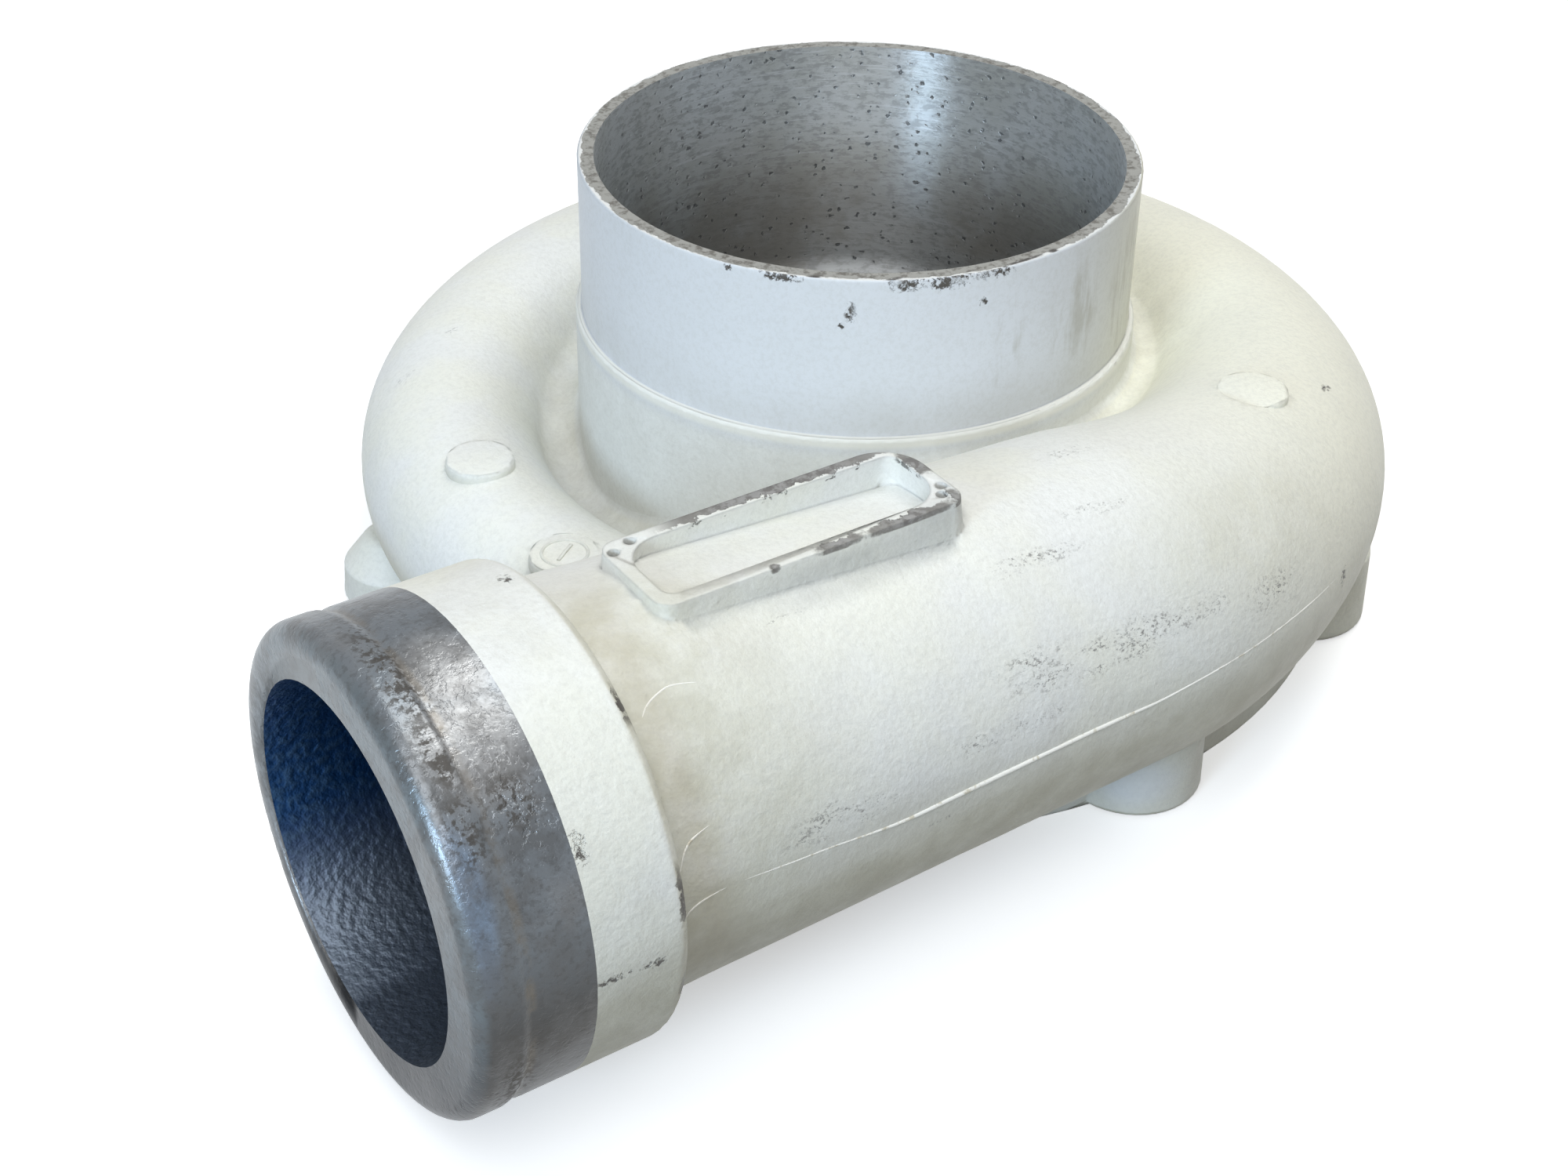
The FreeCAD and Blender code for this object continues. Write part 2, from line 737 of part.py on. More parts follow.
front_hole = bolt_hole("front_hole", front_angle)
bolt_holes = bolt_row("bolt_holes", front_hole, BOLTS_IN_ROW)
gap_hole = bolt_hole("gap_hole", gap_angle)

screw_holes_outline = sketch_on("screw_holes_outline", "XY_Plane", (0, 0, "frame_top_height"))
left_x = frame_left + "screw_inset"
right_x = frame_right - "screw_inset"
back_y = frame_back - "screw_inset"
front_y = frame_front + "screw_inset"
for x, y in (
    (left_x, frame_back - "screw_short_inset"),
    (frame_left + "screw_long_inset", back_y),
    (right_x, frame_front + "screw_long_inset"),
    (frame_right - "screw_short_inset", front_y + "screw_inset"),
):
    circle_in(screw_holes_outline, x, y, "screw_hole_radius")
screw_holes = feature("Pocket", "screw_holes", screw_holes_outline)
screw_holes.Length = measure("screw_hole_depth").number
screw_holes.setExpression("Length", "Sizes.screw_hole_depth")

document.recompute()

for item in document.Objects:
    if "Invalid" in item.State or "Error" in item.State:
        raise RuntimeError("%s is %s" % (item.Name, item.State))
shape = housing.Shape
if shape.isNull() or not shape.isValid() or len(shape.Solids) != 1:
    raise RuntimeError("the housing isn't one valid solid")
os.makedirs("parts", exist_ok=True)
shape.exportStep("parts/%s.step" % housing.Label)
print("%s %.0f mm3" % (housing.Label, shape.Volume))
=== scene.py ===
import json
import math

import bpy
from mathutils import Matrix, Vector
from mathutils.bvhtree import BVHTree

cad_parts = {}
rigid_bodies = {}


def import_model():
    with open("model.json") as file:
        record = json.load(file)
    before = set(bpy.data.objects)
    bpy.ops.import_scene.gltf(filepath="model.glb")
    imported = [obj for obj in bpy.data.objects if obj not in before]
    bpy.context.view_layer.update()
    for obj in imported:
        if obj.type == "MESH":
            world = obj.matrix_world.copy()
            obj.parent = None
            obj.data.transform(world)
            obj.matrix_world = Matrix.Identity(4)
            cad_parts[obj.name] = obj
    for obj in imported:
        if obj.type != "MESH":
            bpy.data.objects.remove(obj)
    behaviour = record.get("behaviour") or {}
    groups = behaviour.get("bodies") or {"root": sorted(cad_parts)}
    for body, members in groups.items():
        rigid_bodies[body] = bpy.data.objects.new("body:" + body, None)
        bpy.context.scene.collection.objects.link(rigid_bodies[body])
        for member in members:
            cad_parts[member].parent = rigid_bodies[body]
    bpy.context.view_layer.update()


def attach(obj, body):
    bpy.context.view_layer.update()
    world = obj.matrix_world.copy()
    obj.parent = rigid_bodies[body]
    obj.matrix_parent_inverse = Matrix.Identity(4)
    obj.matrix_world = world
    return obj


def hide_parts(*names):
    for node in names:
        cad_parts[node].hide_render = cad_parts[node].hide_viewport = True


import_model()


# Camera
# A phone held above the discharge, on the left, looking down at the inlet. Its place and angles were
# solved from the two machined circles, the inlet's rim and the discharge's face.

CAMERA_PLACE = (-0.3295, -0.4499, 0.3677)
CAMERA_TURN = (55.193, -0.890, -33.882)
CAMERA_LENS = 55.87
CAMERA_SENSOR = 36.0
CAMERA_NEAR = 0.01

bpy.ops.object.select_all(action="DESELECT")
bpy.ops.object.camera_add(location=CAMERA_PLACE, rotation=[math.radians(a) for a in CAMERA_TURN])
camera = bpy.context.object
camera.name = "camera"
camera.data.sensor_width = CAMERA_SENSOR
camera.data.lens = CAMERA_LENS
camera.data.clip_start = CAMERA_NEAR
bpy.context.scene.camera = camera


# Room
# A pale floor that stays white out to its edge, two soft lights from above, and a window low down on the
# left, which is what shines in the bore and along the discharge.

ROOM_AIR = (0.95, 0.98, 1.0, 1.0)
ROOM_STRENGTH = 0.33
WHITE = (1.0, 1.0, 1.0, 1.0)
FLOOR_BOUNCE = (0.115, 0.105, 0.085, 1.0)
FLOOR_SHOWN = (0.9, 0.9, 0.9, 1.0)
FLOOR_SIZE = 6.0
FLOOR_GLOW = (0.42, 1.0)
FLOOR_GLOW_REACH = (0.6, 1.8)
LAMP_AIM = (-0.03, -0.03, 0.06)

bpy.context.scene.view_settings.view_transform = "Standard"


def node(tree, kind, inputs=None, **settings):
    """A node with its settings, whose inputs are values or other nodes' outputs."""
    made = tree.nodes.new(kind)
    for setting, value in settings.items():
        setattr(made, setting, value)
    for socket, value in (inputs or {}).items():
        if isinstance(value, bpy.types.NodeSocket):
            tree.links.new(value, made.inputs[socket])
        else:
            made.inputs[socket].default_value = value
    return made


def maths(tree, operation, first, second=0.0, third=0.0, clamp=False):
    """The result of a Math node."""
    made = node(tree, "ShaderNodeMath", {0: first, 1: second, 2: third}, operation=operation)
    made.use_clamp = clamp
    return made.outputs[0]


def most(tree, first, *others):
    """The greatest of two or more values."""
    for other in others:
        first = maths(tree, "MAXIMUM", first, other)
    return first


def seen_directly(tree):
    """1 for rays that show a background: from the camera, off gloss or through glass."""
    path = node(tree, "ShaderNodeLightPath").outputs
    return most(tree, path["Is Camera Ray"], path["Is Transmission Ray"], path["Is Glossy Ray"])


def fade(tree, value, start, end, low=0.0, high=1.0):
    """A smooth step of a value between two places."""
    made = node(
        tree,
        "ShaderNodeMapRange",
        {"Value": value, "From Min": start, "From Max": end, "To Min": low, "To Max": high},
        interpolation_type="SMOOTHSTEP",
    )
    return made.outputs[0]


world = bpy.data.worlds.new("room")
bpy.context.scene.world = world
world.use_nodes = True
room = world.node_tree
room.nodes.clear()
ambient = node(room, "ShaderNodeBackground", {"Color": ROOM_AIR, "Strength": ROOM_STRENGTH})
backdrop = node(room, "ShaderNodeBackground", {"Color": WHITE, "Strength": 1.0})
either_world = node(
    room,
    "ShaderNodeMixShader",
    {0: seen_directly(room), 1: ambient.outputs[0], 2: backdrop.outputs[0]},
)
node(room, "ShaderNodeOutputWorld", {0: either_world.outputs[0]})

bpy.ops.object.select_all(action="DESELECT")
bpy.ops.mesh.primitive_plane_add(size=FLOOR_SIZE, location=(0, 0, 0))
floor = bpy.context.object
floor.name = "floor"
floor_paint = bpy.data.materials.new("pale_floor")
floor_paint.use_nodes = True
tree = floor_paint.node_tree
tree.nodes.clear()
matt = node(tree, "ShaderNodeBsdfDiffuse", {"Color": FLOOR_BOUNCE})
shadowed = node(tree, "ShaderNodeBsdfDiffuse", {"Color": FLOOR_SHOWN})
floor_place = node(tree, "ShaderNodeTexCoord").outputs["Object"]
far_off = node(tree, "ShaderNodeVectorMath", {0: floor_place}, operation="LENGTH").outputs["Value"]
glow_strength = fade(tree, far_off, *FLOOR_GLOW_REACH, *FLOOR_GLOW)
glow = node(tree, "ShaderNodeEmission", {"Color": WHITE, "Strength": glow_strength})
bright = node(tree, "ShaderNodeAddShader", {0: shadowed.outputs[0], 1: glow.outputs[0]})
shown = node(
    tree,
    "ShaderNodeMixShader",
    {0: seen_directly(tree), 1: matt.outputs[0], 2: bright.outputs[0]},
)
node(tree, "ShaderNodeOutputMaterial", {0: shown.outputs[0]})
floor.data.materials.append(floor_paint)


def soft_lamp(name, azimuth, elevation, distance, size, power, colour):
    """A rectangular lamp out in a direction from the part, facing it."""
    around, up = math.radians(azimuth), math.radians(elevation)
    way = Vector((math.cos(around) * math.cos(up), math.sin(around) * math.cos(up), math.sin(up)))
    bpy.ops.object.light_add(type="AREA", location=Vector(LAMP_AIM) + way * distance)
    lamp = bpy.context.object
    lamp.name = name
    lamp.data.shape = "RECTANGLE"
    lamp.data.size, lamp.data.size_y = size
    lamp.data.energy = power
    lamp.data.color = colour
    lamp.rotation_euler = way.to_track_quat("Z", "Y").to_euler()


soft_lamp("ceiling", 16.0, 69.0, 1.6, (0.75, 0.85), 10.0, (1.0, 0.99, 0.955))
soft_lamp("skylight", 232.0, 52.0, 1.6, (1.1, 1.1), 11.5, (0.99, 0.995, 1.0))
soft_lamp("window", 205.0, 17.0, 1.7, (0.36, 0.42), 13.5, (0.63, 0.81, 1.0))


# Housing casting
# One sand casting in aluminium, painted off-white but for the turned surfaces, the end of the discharge
# and the air passage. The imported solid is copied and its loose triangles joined, so that the skin shades as
# one smooth cast surface.

MERGE_DISTANCE = 0.000002
SHARP_ANGLE = 20.0

cad_housing = bpy.data.objects["compressor_housing"]
bpy.ops.object.select_all(action="DESELECT")
cad_housing.select_set(True)
bpy.context.view_layer.objects.active = cad_housing
bpy.ops.object.duplicate()
casting = bpy.context.object
casting.name = "casting"
casting.data.name = "casting"
bpy.ops.object.mode_set(mode="EDIT")
bpy.ops.mesh.select_all(action="SELECT")
bpy.ops.mesh.remove_doubles(threshold=MERGE_DISTANCE)
bpy.ops.object.mode_set(mode="OBJECT")
bpy.ops.object.shade_smooth_by_angle(angle=math.radians(SHARP_ANGLE))
bpy.ops.object.modifier_add(type="WEIGHTED_NORMAL")
casting.modifiers[-1].mode = "FACE_AREA_WITH_ANGLE"
casting.modifiers[-1].keep_sharp = True
casting.data.materials.clear()
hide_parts("compressor_housing")
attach(casting, "root")


def new_group(name, inputs, outputs):
    """A shader node group with named sockets, and its input and output nodes."""
    made = bpy.data.node_groups.new(name, "ShaderNodeTree")
    for title, (kind, value) in inputs.items():
        socket = made.interface.new_socket(name=title, in_out="INPUT", socket_type="NodeSocket" + kind)
        if value is not None:
            socket.default_value = value
    for title, kind in outputs.items():
        made.interface.new_socket(name=title, in_out="OUTPUT", socket_type="NodeSocket" + kind)
    return made, node(made, "NodeGroupInput").outputs, node(made, "NodeGroupOutput")


def times(tree, first, *others):
    """The product of two or more values."""
    for other in others:
        first = maths(tree, "MULTIPLY", first, other)
    return first


def hypotenuse(tree, first, second):
    """The length of the way across and up."""
    squares = maths(tree, "ADD", maths(tree, "POWER", first, 2.0), maths(tree, "POWER", second, 2.0))
    return maths(tree, "SQRT", squares)


def vector_maths(tree, operation, *values):
    """A Vector Math node's outputs."""
    return node(tree, "ShaderNodeVectorMath", dict(enumerate(values)), operation=operation).outputs


def noise(tree, place, scale, detail=3.0, roughness=0.55, stretch=None):
    """A noise value over Object coordinates, stretched along the axes if asked."""
    if stretch:
        place = vector_maths(tree, "MULTIPLY", place, stretch)[0]
    made = node(
        tree,
        "ShaderNodeTexNoise",
        {"Vector": place, "Scale": scale, "Detail": detail, "Roughness": roughness},
    )
    return made.outputs[0]


def blend(tree, share, first, second):
    """A colour between two, each an RGB triple or an output."""
    made = node(tree, "ShaderNodeMix", data_type="RGBA")
    for socket, value in ((made.inputs[0], share), (made.inputs[6], first), (made.inputs[7], second)):
        if isinstance(value, bpy.types.NodeSocket):
            tree.links.new(value, socket)
        elif isinstance(value, tuple):
            socket.default_value = (*value, 1.0)
        else:
            socket.default_value = value
    return made.outputs[2]


def mix_value(tree, share, first, second):
    """A number between two."""
    made = node(tree, "ShaderNodeMix", {0: share, 2: first, 3: second}, data_type="FLOAT")
    return made.outputs[0]


# The group "patch" is 1 in the middle of a place on the casting and fades to 0 at its reach, broken up
# by the value it is given.
PATCH_BREAK = 0.9
PATCH_EDGE = (1.3, 0.7)
patch_group, given, gives = new_group(
    "patch",
    {
        "Place": ("Vector", None),
        "Centre": ("Vector", (0, 0, 0)),
        "Reach": ("Vector", (0.01, 0.01, 0.01)),
        "Break": ("Float", 0.5),
    },
    {"Mask": "Float"},
)
offset = vector_maths(patch_group, "SUBTRACT", given["Place"], given["Centre"])[0]
share = vector_maths(patch_group, "DIVIDE", offset, given["Reach"])[0]
length = vector_maths(patch_group, "LENGTH", share)["Value"]
broken = maths(patch_group, "ADD", length, times(patch_group, given["Break"], PATCH_BREAK))
mask = fade(patch_group, broken, *PATCH_EDGE)
patch_group.links.new(mask, gives.inputs[0])

# The group "cast_skin" is the grain that the sand mould leaves: fine orange peel over slow unevenness.
GRAIN_SHARE = 0.35
SWELL_SHARE = 3.0
skin_group, given, gives = new_group(
    "cast_skin",
    {"Place": ("Vector", None), "Peel": ("Float", 1.0), "Swell": ("Float", 1.0)},
    {"Height": "Float"},
)
peel = noise(skin_group, given["Place"], 620.0, 2.0, 0.5)
grain = noise(skin_group, given["Place"], 1700.0, 2.0, 0.6)
swell = noise(skin_group, given["Place"], 55.0, 2.0, 0.4)
fine = maths(skin_group, "MULTIPLY_ADD", grain, GRAIN_SHARE, peel)
height = times(skin_group, fine, given["Peel"])
height = maths(skin_group, "MULTIPLY_ADD", swell, times(skin_group, given["Swell"], SWELL_SHARE), height)
skin_group.links.new(height, gives.inputs[0])


def patch(tree, place, centre, reach, broken):
    """The mask of one place, given in millimetres."""
    made = node(tree, "ShaderNodeGroup", node_tree=patch_group)
    tree.links.new(place, made.inputs["Place"])
    made.inputs["Centre"].default_value = [c / 1000 for c in centre]
    made.inputs["Reach"].default_value = [r / 1000 for r in reach]
    if isinstance(broken, bpy.types.NodeSocket):
        tree.links.new(broken, made.inputs["Break"])
    else:
        made.inputs["Break"].default_value = broken
    return made.outputs[0]


def patches(tree, place, broken, *places):
    """The strongest of several places' masks."""
    found = None
    for centre, reach in places:
        mask = patch(tree, place, centre, reach, broken)
        found = mask if found is None else most(tree, found, mask)
    return found


def new_material(name):
    """A material with a Principled BSDF, and the Object coordinates in it."""
    made = bpy.data.materials.new(name)
    made.use_nodes = True
    tree = made.node_tree
    tree.nodes.clear()
    shader = node(tree, "ShaderNodeBsdfPrincipled")
    node(tree, "ShaderNodeOutputMaterial", {0: shader.outputs[0]})
    place = node(tree, "ShaderNodeTexCoord").outputs["Object"]
    return made, tree, shader, place


def set_normal(tree, shader, height, strength, distance, edge_round=0.0):
    """A Bump node from a height to the shader's normal, over edges softened by a radius if asked."""
    bump = node(tree, "ShaderNodeBump", {"Strength": strength, "Distance": distance, "Height": height})
    if edge_round:
        softened = node(tree, "ShaderNodeBevel", {"Radius": edge_round}, samples=4)
        tree.links.new(softened.outputs[0], bump.inputs["Normal"])
    tree.links.new(bump.outputs[0], shader.inputs["Normal"])


# Off-white paint: clean on the inlet, creamy on the right of the scroll, grubby by the collar and in the
# valley.
# The inlet's cool tint stands in for the window's bluish light. Painted shade makes the inlet's right side
# and the undersides darker and warmer, and painted light makes the stem's foot and the ledge paler. It is
# rubbed off in peppery bands along the discharge and chipped to metal on the sharp edges. Where a mask begins
# and ends is given in metres.
PAINT_STEM_WINDOW_TINT = (0.71, 0.735, 0.765)
PAINT_STEM_RIGHT_SHADED = (0.78, 0.77, 0.61)
PAINT_STEM_FOOT_LIT = (0.83, 0.84, 0.80)
PAINT_CLEAN = (0.78, 0.79, 0.77)
PAINT_LEDGE_HIGHLIGHT = (0.86, 0.86, 0.80)
PAINT_CREAM = (0.85, 0.845, 0.72)
PAINT_STAINED_AND_SHADED = (0.67, 0.66, 0.55)
PAINT_CLOUDED = (0.60, 0.62, 0.60)
PAINT_MOTTLED = (0.50, 0.50, 0.47)
PAINT_LUG_WINDOW_TINT = (0.74, 0.79, 0.88)
STEM_EDGE = (0.0735, 0.0722)
STEM_RIGHT = (0.005, 0.060)
STEM_FOOT = (0.071, 0.066)
SCROLL_RIGHT = (-0.05, 0.06)
LOW_HEIGHT = (0.092, 0.070)
COLLAR_EDGE = (-0.148, -0.160)
BY_COLLAR_ALONG = (-0.095, -0.150)
BY_COLLAR_SIDE = (-0.095, -0.125)
BY_COLLAR_END = (-0.1562, -0.1552)
LEDGE_HEIGHT = (0.0690, 0.0708)
LEDGE_INNER = (0.0701, 0.0704)
LEDGE_OUTER = (0.0728, 0.0724)

painted, tree, shader, place = new_material("off_white_paint")
axes = node(tree, "ShaderNodeSeparateXYZ", {0: place}).outputs
x, y, z = axes["X"], axes["Y"], axes["Z"]
from_axis = hypotenuse(tree, x, y)
facing = node(tree, "ShaderNodeNewGeometry").outputs["Normal"]
facing_up = node(tree, "ShaderNodeSeparateXYZ", {0: facing}).outputs["Z"]

slow = noise(tree, place, 26.0, 4.0, 0.6)
cloud = noise(tree, place, 90.0, 5.0, 0.65)
speck = noise(tree, place, 420.0, 3.0, 0.65)
pepper = noise(tree, place, 1350.0, 3.0, 0.75, stretch=(0.7, 1.0, 1.0))

on_stem = fade(tree, from_axis, *STEM_EDGE)
on_collar = fade(tree, x, *COLLAR_EDGE)
low_down = times(tree, fade(tree, facing_up, 0.25, -0.35), fade(tree, z, *LOW_HEIGHT))
by_collar = times(
    tree,
    fade(tree, x, *BY_COLLAR_ALONG),
    fade(tree, y, *BY_COLLAR_SIDE),
    fade(tree, x, *BY_COLLAR_END),
)
yellowed = patches(
    tree, place, slow,
    ((-62, -84, 78), (40, 34, 30)),
    ((10, -145, 80), (60, 30, 26)),
)
cream = most(tree, fade(tree, x, *SCROLL_RIGHT, 0.0, 0.9), fade(tree, slow, 0.36, 0.66, 0.0, 0.6))
# Painted shade: the undersides low on the casting are painted darker and yellower. The collar, the patches by
# it and the yellowed places are real stains.
stained_and_shaded = most(
    tree,
    low_down,
    times(tree, on_collar, 0.08),
    times(tree, by_collar, fade(tree, cloud, 0.25, 0.70, 0.45, 1.0)),
    times(tree, yellowed, fade(tree, cloud, 0.2, 0.7, 0.15, 0.7)),
)
colour = blend(tree, stained_and_shaded, blend(tree, cream, PAINT_CLEAN, PAINT_CREAM), PAINT_STAINED_AND_SHADED)
# Painted light and shade on the stem: its cool tint stands in for the window's bluish light. Its right side,
# away from the window, is painted warmer and darker as shade, and its foot under the ledge is painted paler
# as light.
stem_right_shade = times(tree, on_stem, fade(tree, x, *STEM_RIGHT))
stem_paint = blend(tree, times(tree, stem_right_shade, 0.85), PAINT_STEM_WINDOW_TINT, PAINT_STEM_RIGHT_SHADED)
stem_paint = blend(tree, fade(tree, z, *STEM_FOOT, 0.0, 0.70), stem_paint, PAINT_STEM_FOOT_LIT)
colour = blend(tree, on_stem, colour, stem_paint)
colour = blend(tree, times(tree, fade(tree, slow, 0.35, 0.75), 0.22), colour, PAINT_CLOUDED)
mottle = fade(tree, noise(tree, place, 780.0, 4.0, 0.75), 0.42, 0.66)
colour = blend(tree, times(tree, mottle, 0.20), colour, PAINT_MOTTLED)
# Painted light: the front lug is tinted blue for the window's bluish light on it.
front_lug = patch(tree, place, (-12, -134, 10), (16, 12, 10), 0.4)
colour = blend(tree, times(tree, front_lug, 0.45), colour, PAINT_LUG_WINDOW_TINT)
# Painted highlight: the ledge's top is painted near-white where it catches the light.
ledge_highlight = times(
    tree,
    fade(tree, z, *LEDGE_HEIGHT),
    fade(tree, from_axis, *LEDGE_INNER),
    fade(tree, from_axis, *LEDGE_OUTER),
)
colour = blend(tree, times(tree, ledge_highlight, 0.9), colour, PAINT_LEDGE_HIGHLIGHT)

# Grime and painted shade: dirt with painted shade in a band that hugs the stem, runs down the right of the
# inlet, soot in the collar's corner, a brown painted shade low down and a grey painted shadow under the
# raised frame.
GRIME_AND_SHADE = (0.30, 0.275, 0.19)
FRAME_SHADE = (0.36, 0.37, 0.36)
VALLEY_OUTER = (0.094, 0.074)
VALLEY_INNER = (0.0715, 0.0722)

# Dirt and painted shade: a darker brown band in the valley where the scroll meets the stem.
valley_dirt_and_shade = times(
    tree,
    fade(tree, from_axis, *VALLEY_OUTER),
    fade(tree, from_axis, *VALLEY_INNER),
    fade(tree, cloud, 0.30, 0.68),
)
collar_grime = times(tree, on_collar, fade(tree, cloud, 0.42, 0.72))
runs = noise(tree, place, 1.0, 4.0, 0.65, stretch=(230.0, 230.0, 45.0))
run_places = patches(
    tree, place, cloud,
    ((-6, -70, 93), (6, 8, 24)),
    ((16, -68, 96), (14, 10, 22)),
    ((41, -57, 90), (20, 20, 32)),
    ((62, -34, 88), (16, 22, 30)),
)
run_grime = times(tree, run_places, fade(tree, runs, 0.44, 0.68))
# Painted shade: the undersides low down are darkened further with the brown of the grime.
low_shade = times(tree, low_down, fade(tree, cloud, 0.25, 0.65, 0.35, 1.0))
grime_and_shade = most(
    tree,
    times(tree, valley_dirt_and_shade, 0.20),
    times(tree, collar_grime, 0.10),
    times(tree, by_collar, fade(tree, cloud, 0.3, 0.7, 0.04, 0.24)),
    times(tree, run_grime, 0.40),
    times(tree, low_shade, 0.46),
)
colour = blend(tree, grime_and_shade, colour, GRIME_AND_SHADE)
# Painted shadow: a soft grey band on the duct below the raised frame.
under_frame = patches(
    tree, place, times(tree, cloud, 0.6),
    ((-92, -128, 94.5), (36, 8, 6)),
    ((-70, -126, 96), (14, 6, 7)),
    ((-62, -120, 95), (4, 10, 8)),
)
shade = times(tree, under_frame, fade(tree, cloud, 0.25, 0.70, 0.20, 0.46))
colour = blend(tree, shade, colour, FRAME_SHADE)

# Rubbed bands: fine grey pepper where the crests of the orange peel have lost their paint.
PEPPER = (0.17, 0.165, 0.16)

rubbed_places = patches(
    tree, place, cloud,
    ((-40, -152, 70), (48, 10, 6.5)),
    ((-62, -150, 74), (20, 8, 5)),
    ((8, -149, 65), (22, 8, 7)),
    ((-73, -156, 63.5), (24, 5, 4)),
    ((-53, -137, 88), (20, 4, 4)),
    ((-30, -131, 90), (16, 3.5, 3)),
    ((-113, -158, 62), (24, 5, 6)),
    ((-22, -112.8, 92), (16, 3, 3)),
    ((-102, 55, 52), (5, 4, 5)),
    ((-83, 65.5, 56), (3, 2, 2)),
    ((-112, -133.2, 93.5), (10, 1.6, 1.4)),
    ((-88, -158, 49.6), (11, 3, 0.9)),
)
scattered = fade(tree, noise(tree, place, 260.0, 4.0, 0.75, stretch=(0.4, 1.0, 1.0)), 0.40, 0.62)
rubbed = times(tree, rubbed_places, scattered, fade(tree, pepper, 0.50, 0.62))
colour = blend(tree, times(tree, rubbed, 0.86), colour, PEPPER)

# Chips down to metal: the frame's top edge, the collar's back edge, the inlet's rim and a few specks. The
# holes of the frame's screws are painted near-black as shade.
BARE_CAST = (0.27, 0.27, 0.265)
BARE_CAST_DARK = (0.15, 0.145, 0.14)
DARK_CHIP = (0.075, 0.068, 0.06)
HOLE_SHADE = (0.05, 0.045, 0.04)
CHIP_SPREAD = 0.0064
CHIP_OUTLINE = 3.4
FRAME_TOP = (0.09925, 0.09975)
FRAME_END = (-0.06, -0.061)
FRAME_BACK = (-0.1039, -0.1034)
FRAME_BACK_STRIP = (-0.110, -0.109)
FRAME_RIGHT = (-0.0656, -0.0651)
FRAME_FRONT = (-0.1246, -0.1251)
COLLAR_BACK = (-0.1556, -0.1552)
COLLAR_RIM = (0.0478, 0.0486)
PIPE_MIDDLE = (-0.116, 0.0555)
SCREW_HOLES = ((-133.3, -105.2), (-128.5, -103.3), (-64.2, -120.0), (-66.1, -122.8))

ragged = noise(tree, place, 300.0, 4.0, 0.7)
spread = maths(tree, "MULTIPLY_ADD", ragged, CHIP_SPREAD, -CHIP_SPREAD / 2)
ragged_x = maths(tree, "ADD", x, spread)
ragged_y = maths(tree, "ADD", y, spread)
frame_top = times(tree, fade(tree, z, *FRAME_TOP), fade(tree, x, *FRAME_END))
back_edge = times(
    tree,
    fade(tree, ragged_y, *FRAME_BACK),
    fade(tree, y, *FRAME_BACK_STRIP),
    patch(tree, place, (-93, -103, 100), (33, 9, 8), 0.35),
)
right_places = patches(
    tree, place, ragged,
    ((-64, -110, 100.4), (6, 7, 4)),
    ((-66, -125, 100.4), (6, 4.5, 4)),
)
right_edge = times(tree, fade(tree, ragged_x, *FRAME_RIGHT), right_places)
front_places = patches(
    tree, place, ragged,
    ((-77, -126, 100.3), (15, 4, 2.2)),
    ((-94, -126, 100.3), (8, 3, 1.6)),
    ((-109.4, -126.4, 100.4), (1.8, 1.6, 1.4)),
)
front_edge = times(tree, fade(tree, ragged_y, *FRAME_FRONT), front_places)
chips = times(tree, frame_top, most(tree, back_edge, right_edge, front_edge))
torn = fade(tree, noise(tree, place, 950.0, 3.0, 0.7), 0.36, 0.62)
specks = patches(
    tree, place, torn,
    ((-158.5, -107.8, 106), (1.5, 2.4, 1.5)),
    ((-161.1, -166.5, 54.6), (2.0, 2, 1.2)),
    ((-163.5, -166.5, 54.8), (1.6, 2, 0.9)),
    ((-170.5, -166.5, 55.2), (4.0, 2, 0.9)),
    ((-172.8, -159.1, 82.1), (1.8, 3, 3.4)),
    ((38.3, -141.8, 52.6), (1.5, 2.0, 2.8)),
    ((63.1, -105.4, 76.9), (3.4, 1.4, 1)),
    ((-41.9, -56.0, 105.0), (1.4, 1.4, 2.6)),
    ((-43.5, -54.8, 101.5), (0.8, 0.8, 0.9)),
    ((-60.8, -34.2, 112.2), (1.0, 1.2, 1.0)),
    ((-31.2, -62.4, 112.2), (6.0, 3.5, 2.0)),
    ((-22.3, -66.3, 112.0), (8.0, 3.5, 2.4)),
    ((-12.0, -68.9, 112.3), (7.0, 3.5, 1.5)),
    ((-53.7, -44.7, 112.4), (6.0, 5.0, 1.3)),
    ((-13.7, -68.6, 105.4), (1.2, 1.2, 1.2)),
)
from_pipe = hypotenuse(
    tree,
    maths(tree, "SUBTRACT", y, PIPE_MIDDLE[0]),
    maths(tree, "SUBTRACT", z, PIPE_MIDDLE[1]),
)
collar_places = patches(
    tree, place, ragged,
    ((-154.5, -144, 97), (5, 6, 11)),
    ((-154.5, -165, 66), (5, 5, 14)),
    ((-154.5, -163, 45), (5, 5, 10)),
)
collar_edge = times(
    tree,
    fade(tree, ragged_x, *COLLAR_BACK),
    fade(tree, from_pipe, *COLLAR_RIM),
    collar_places,
)
dark = most(tree, specks, collar_edge)
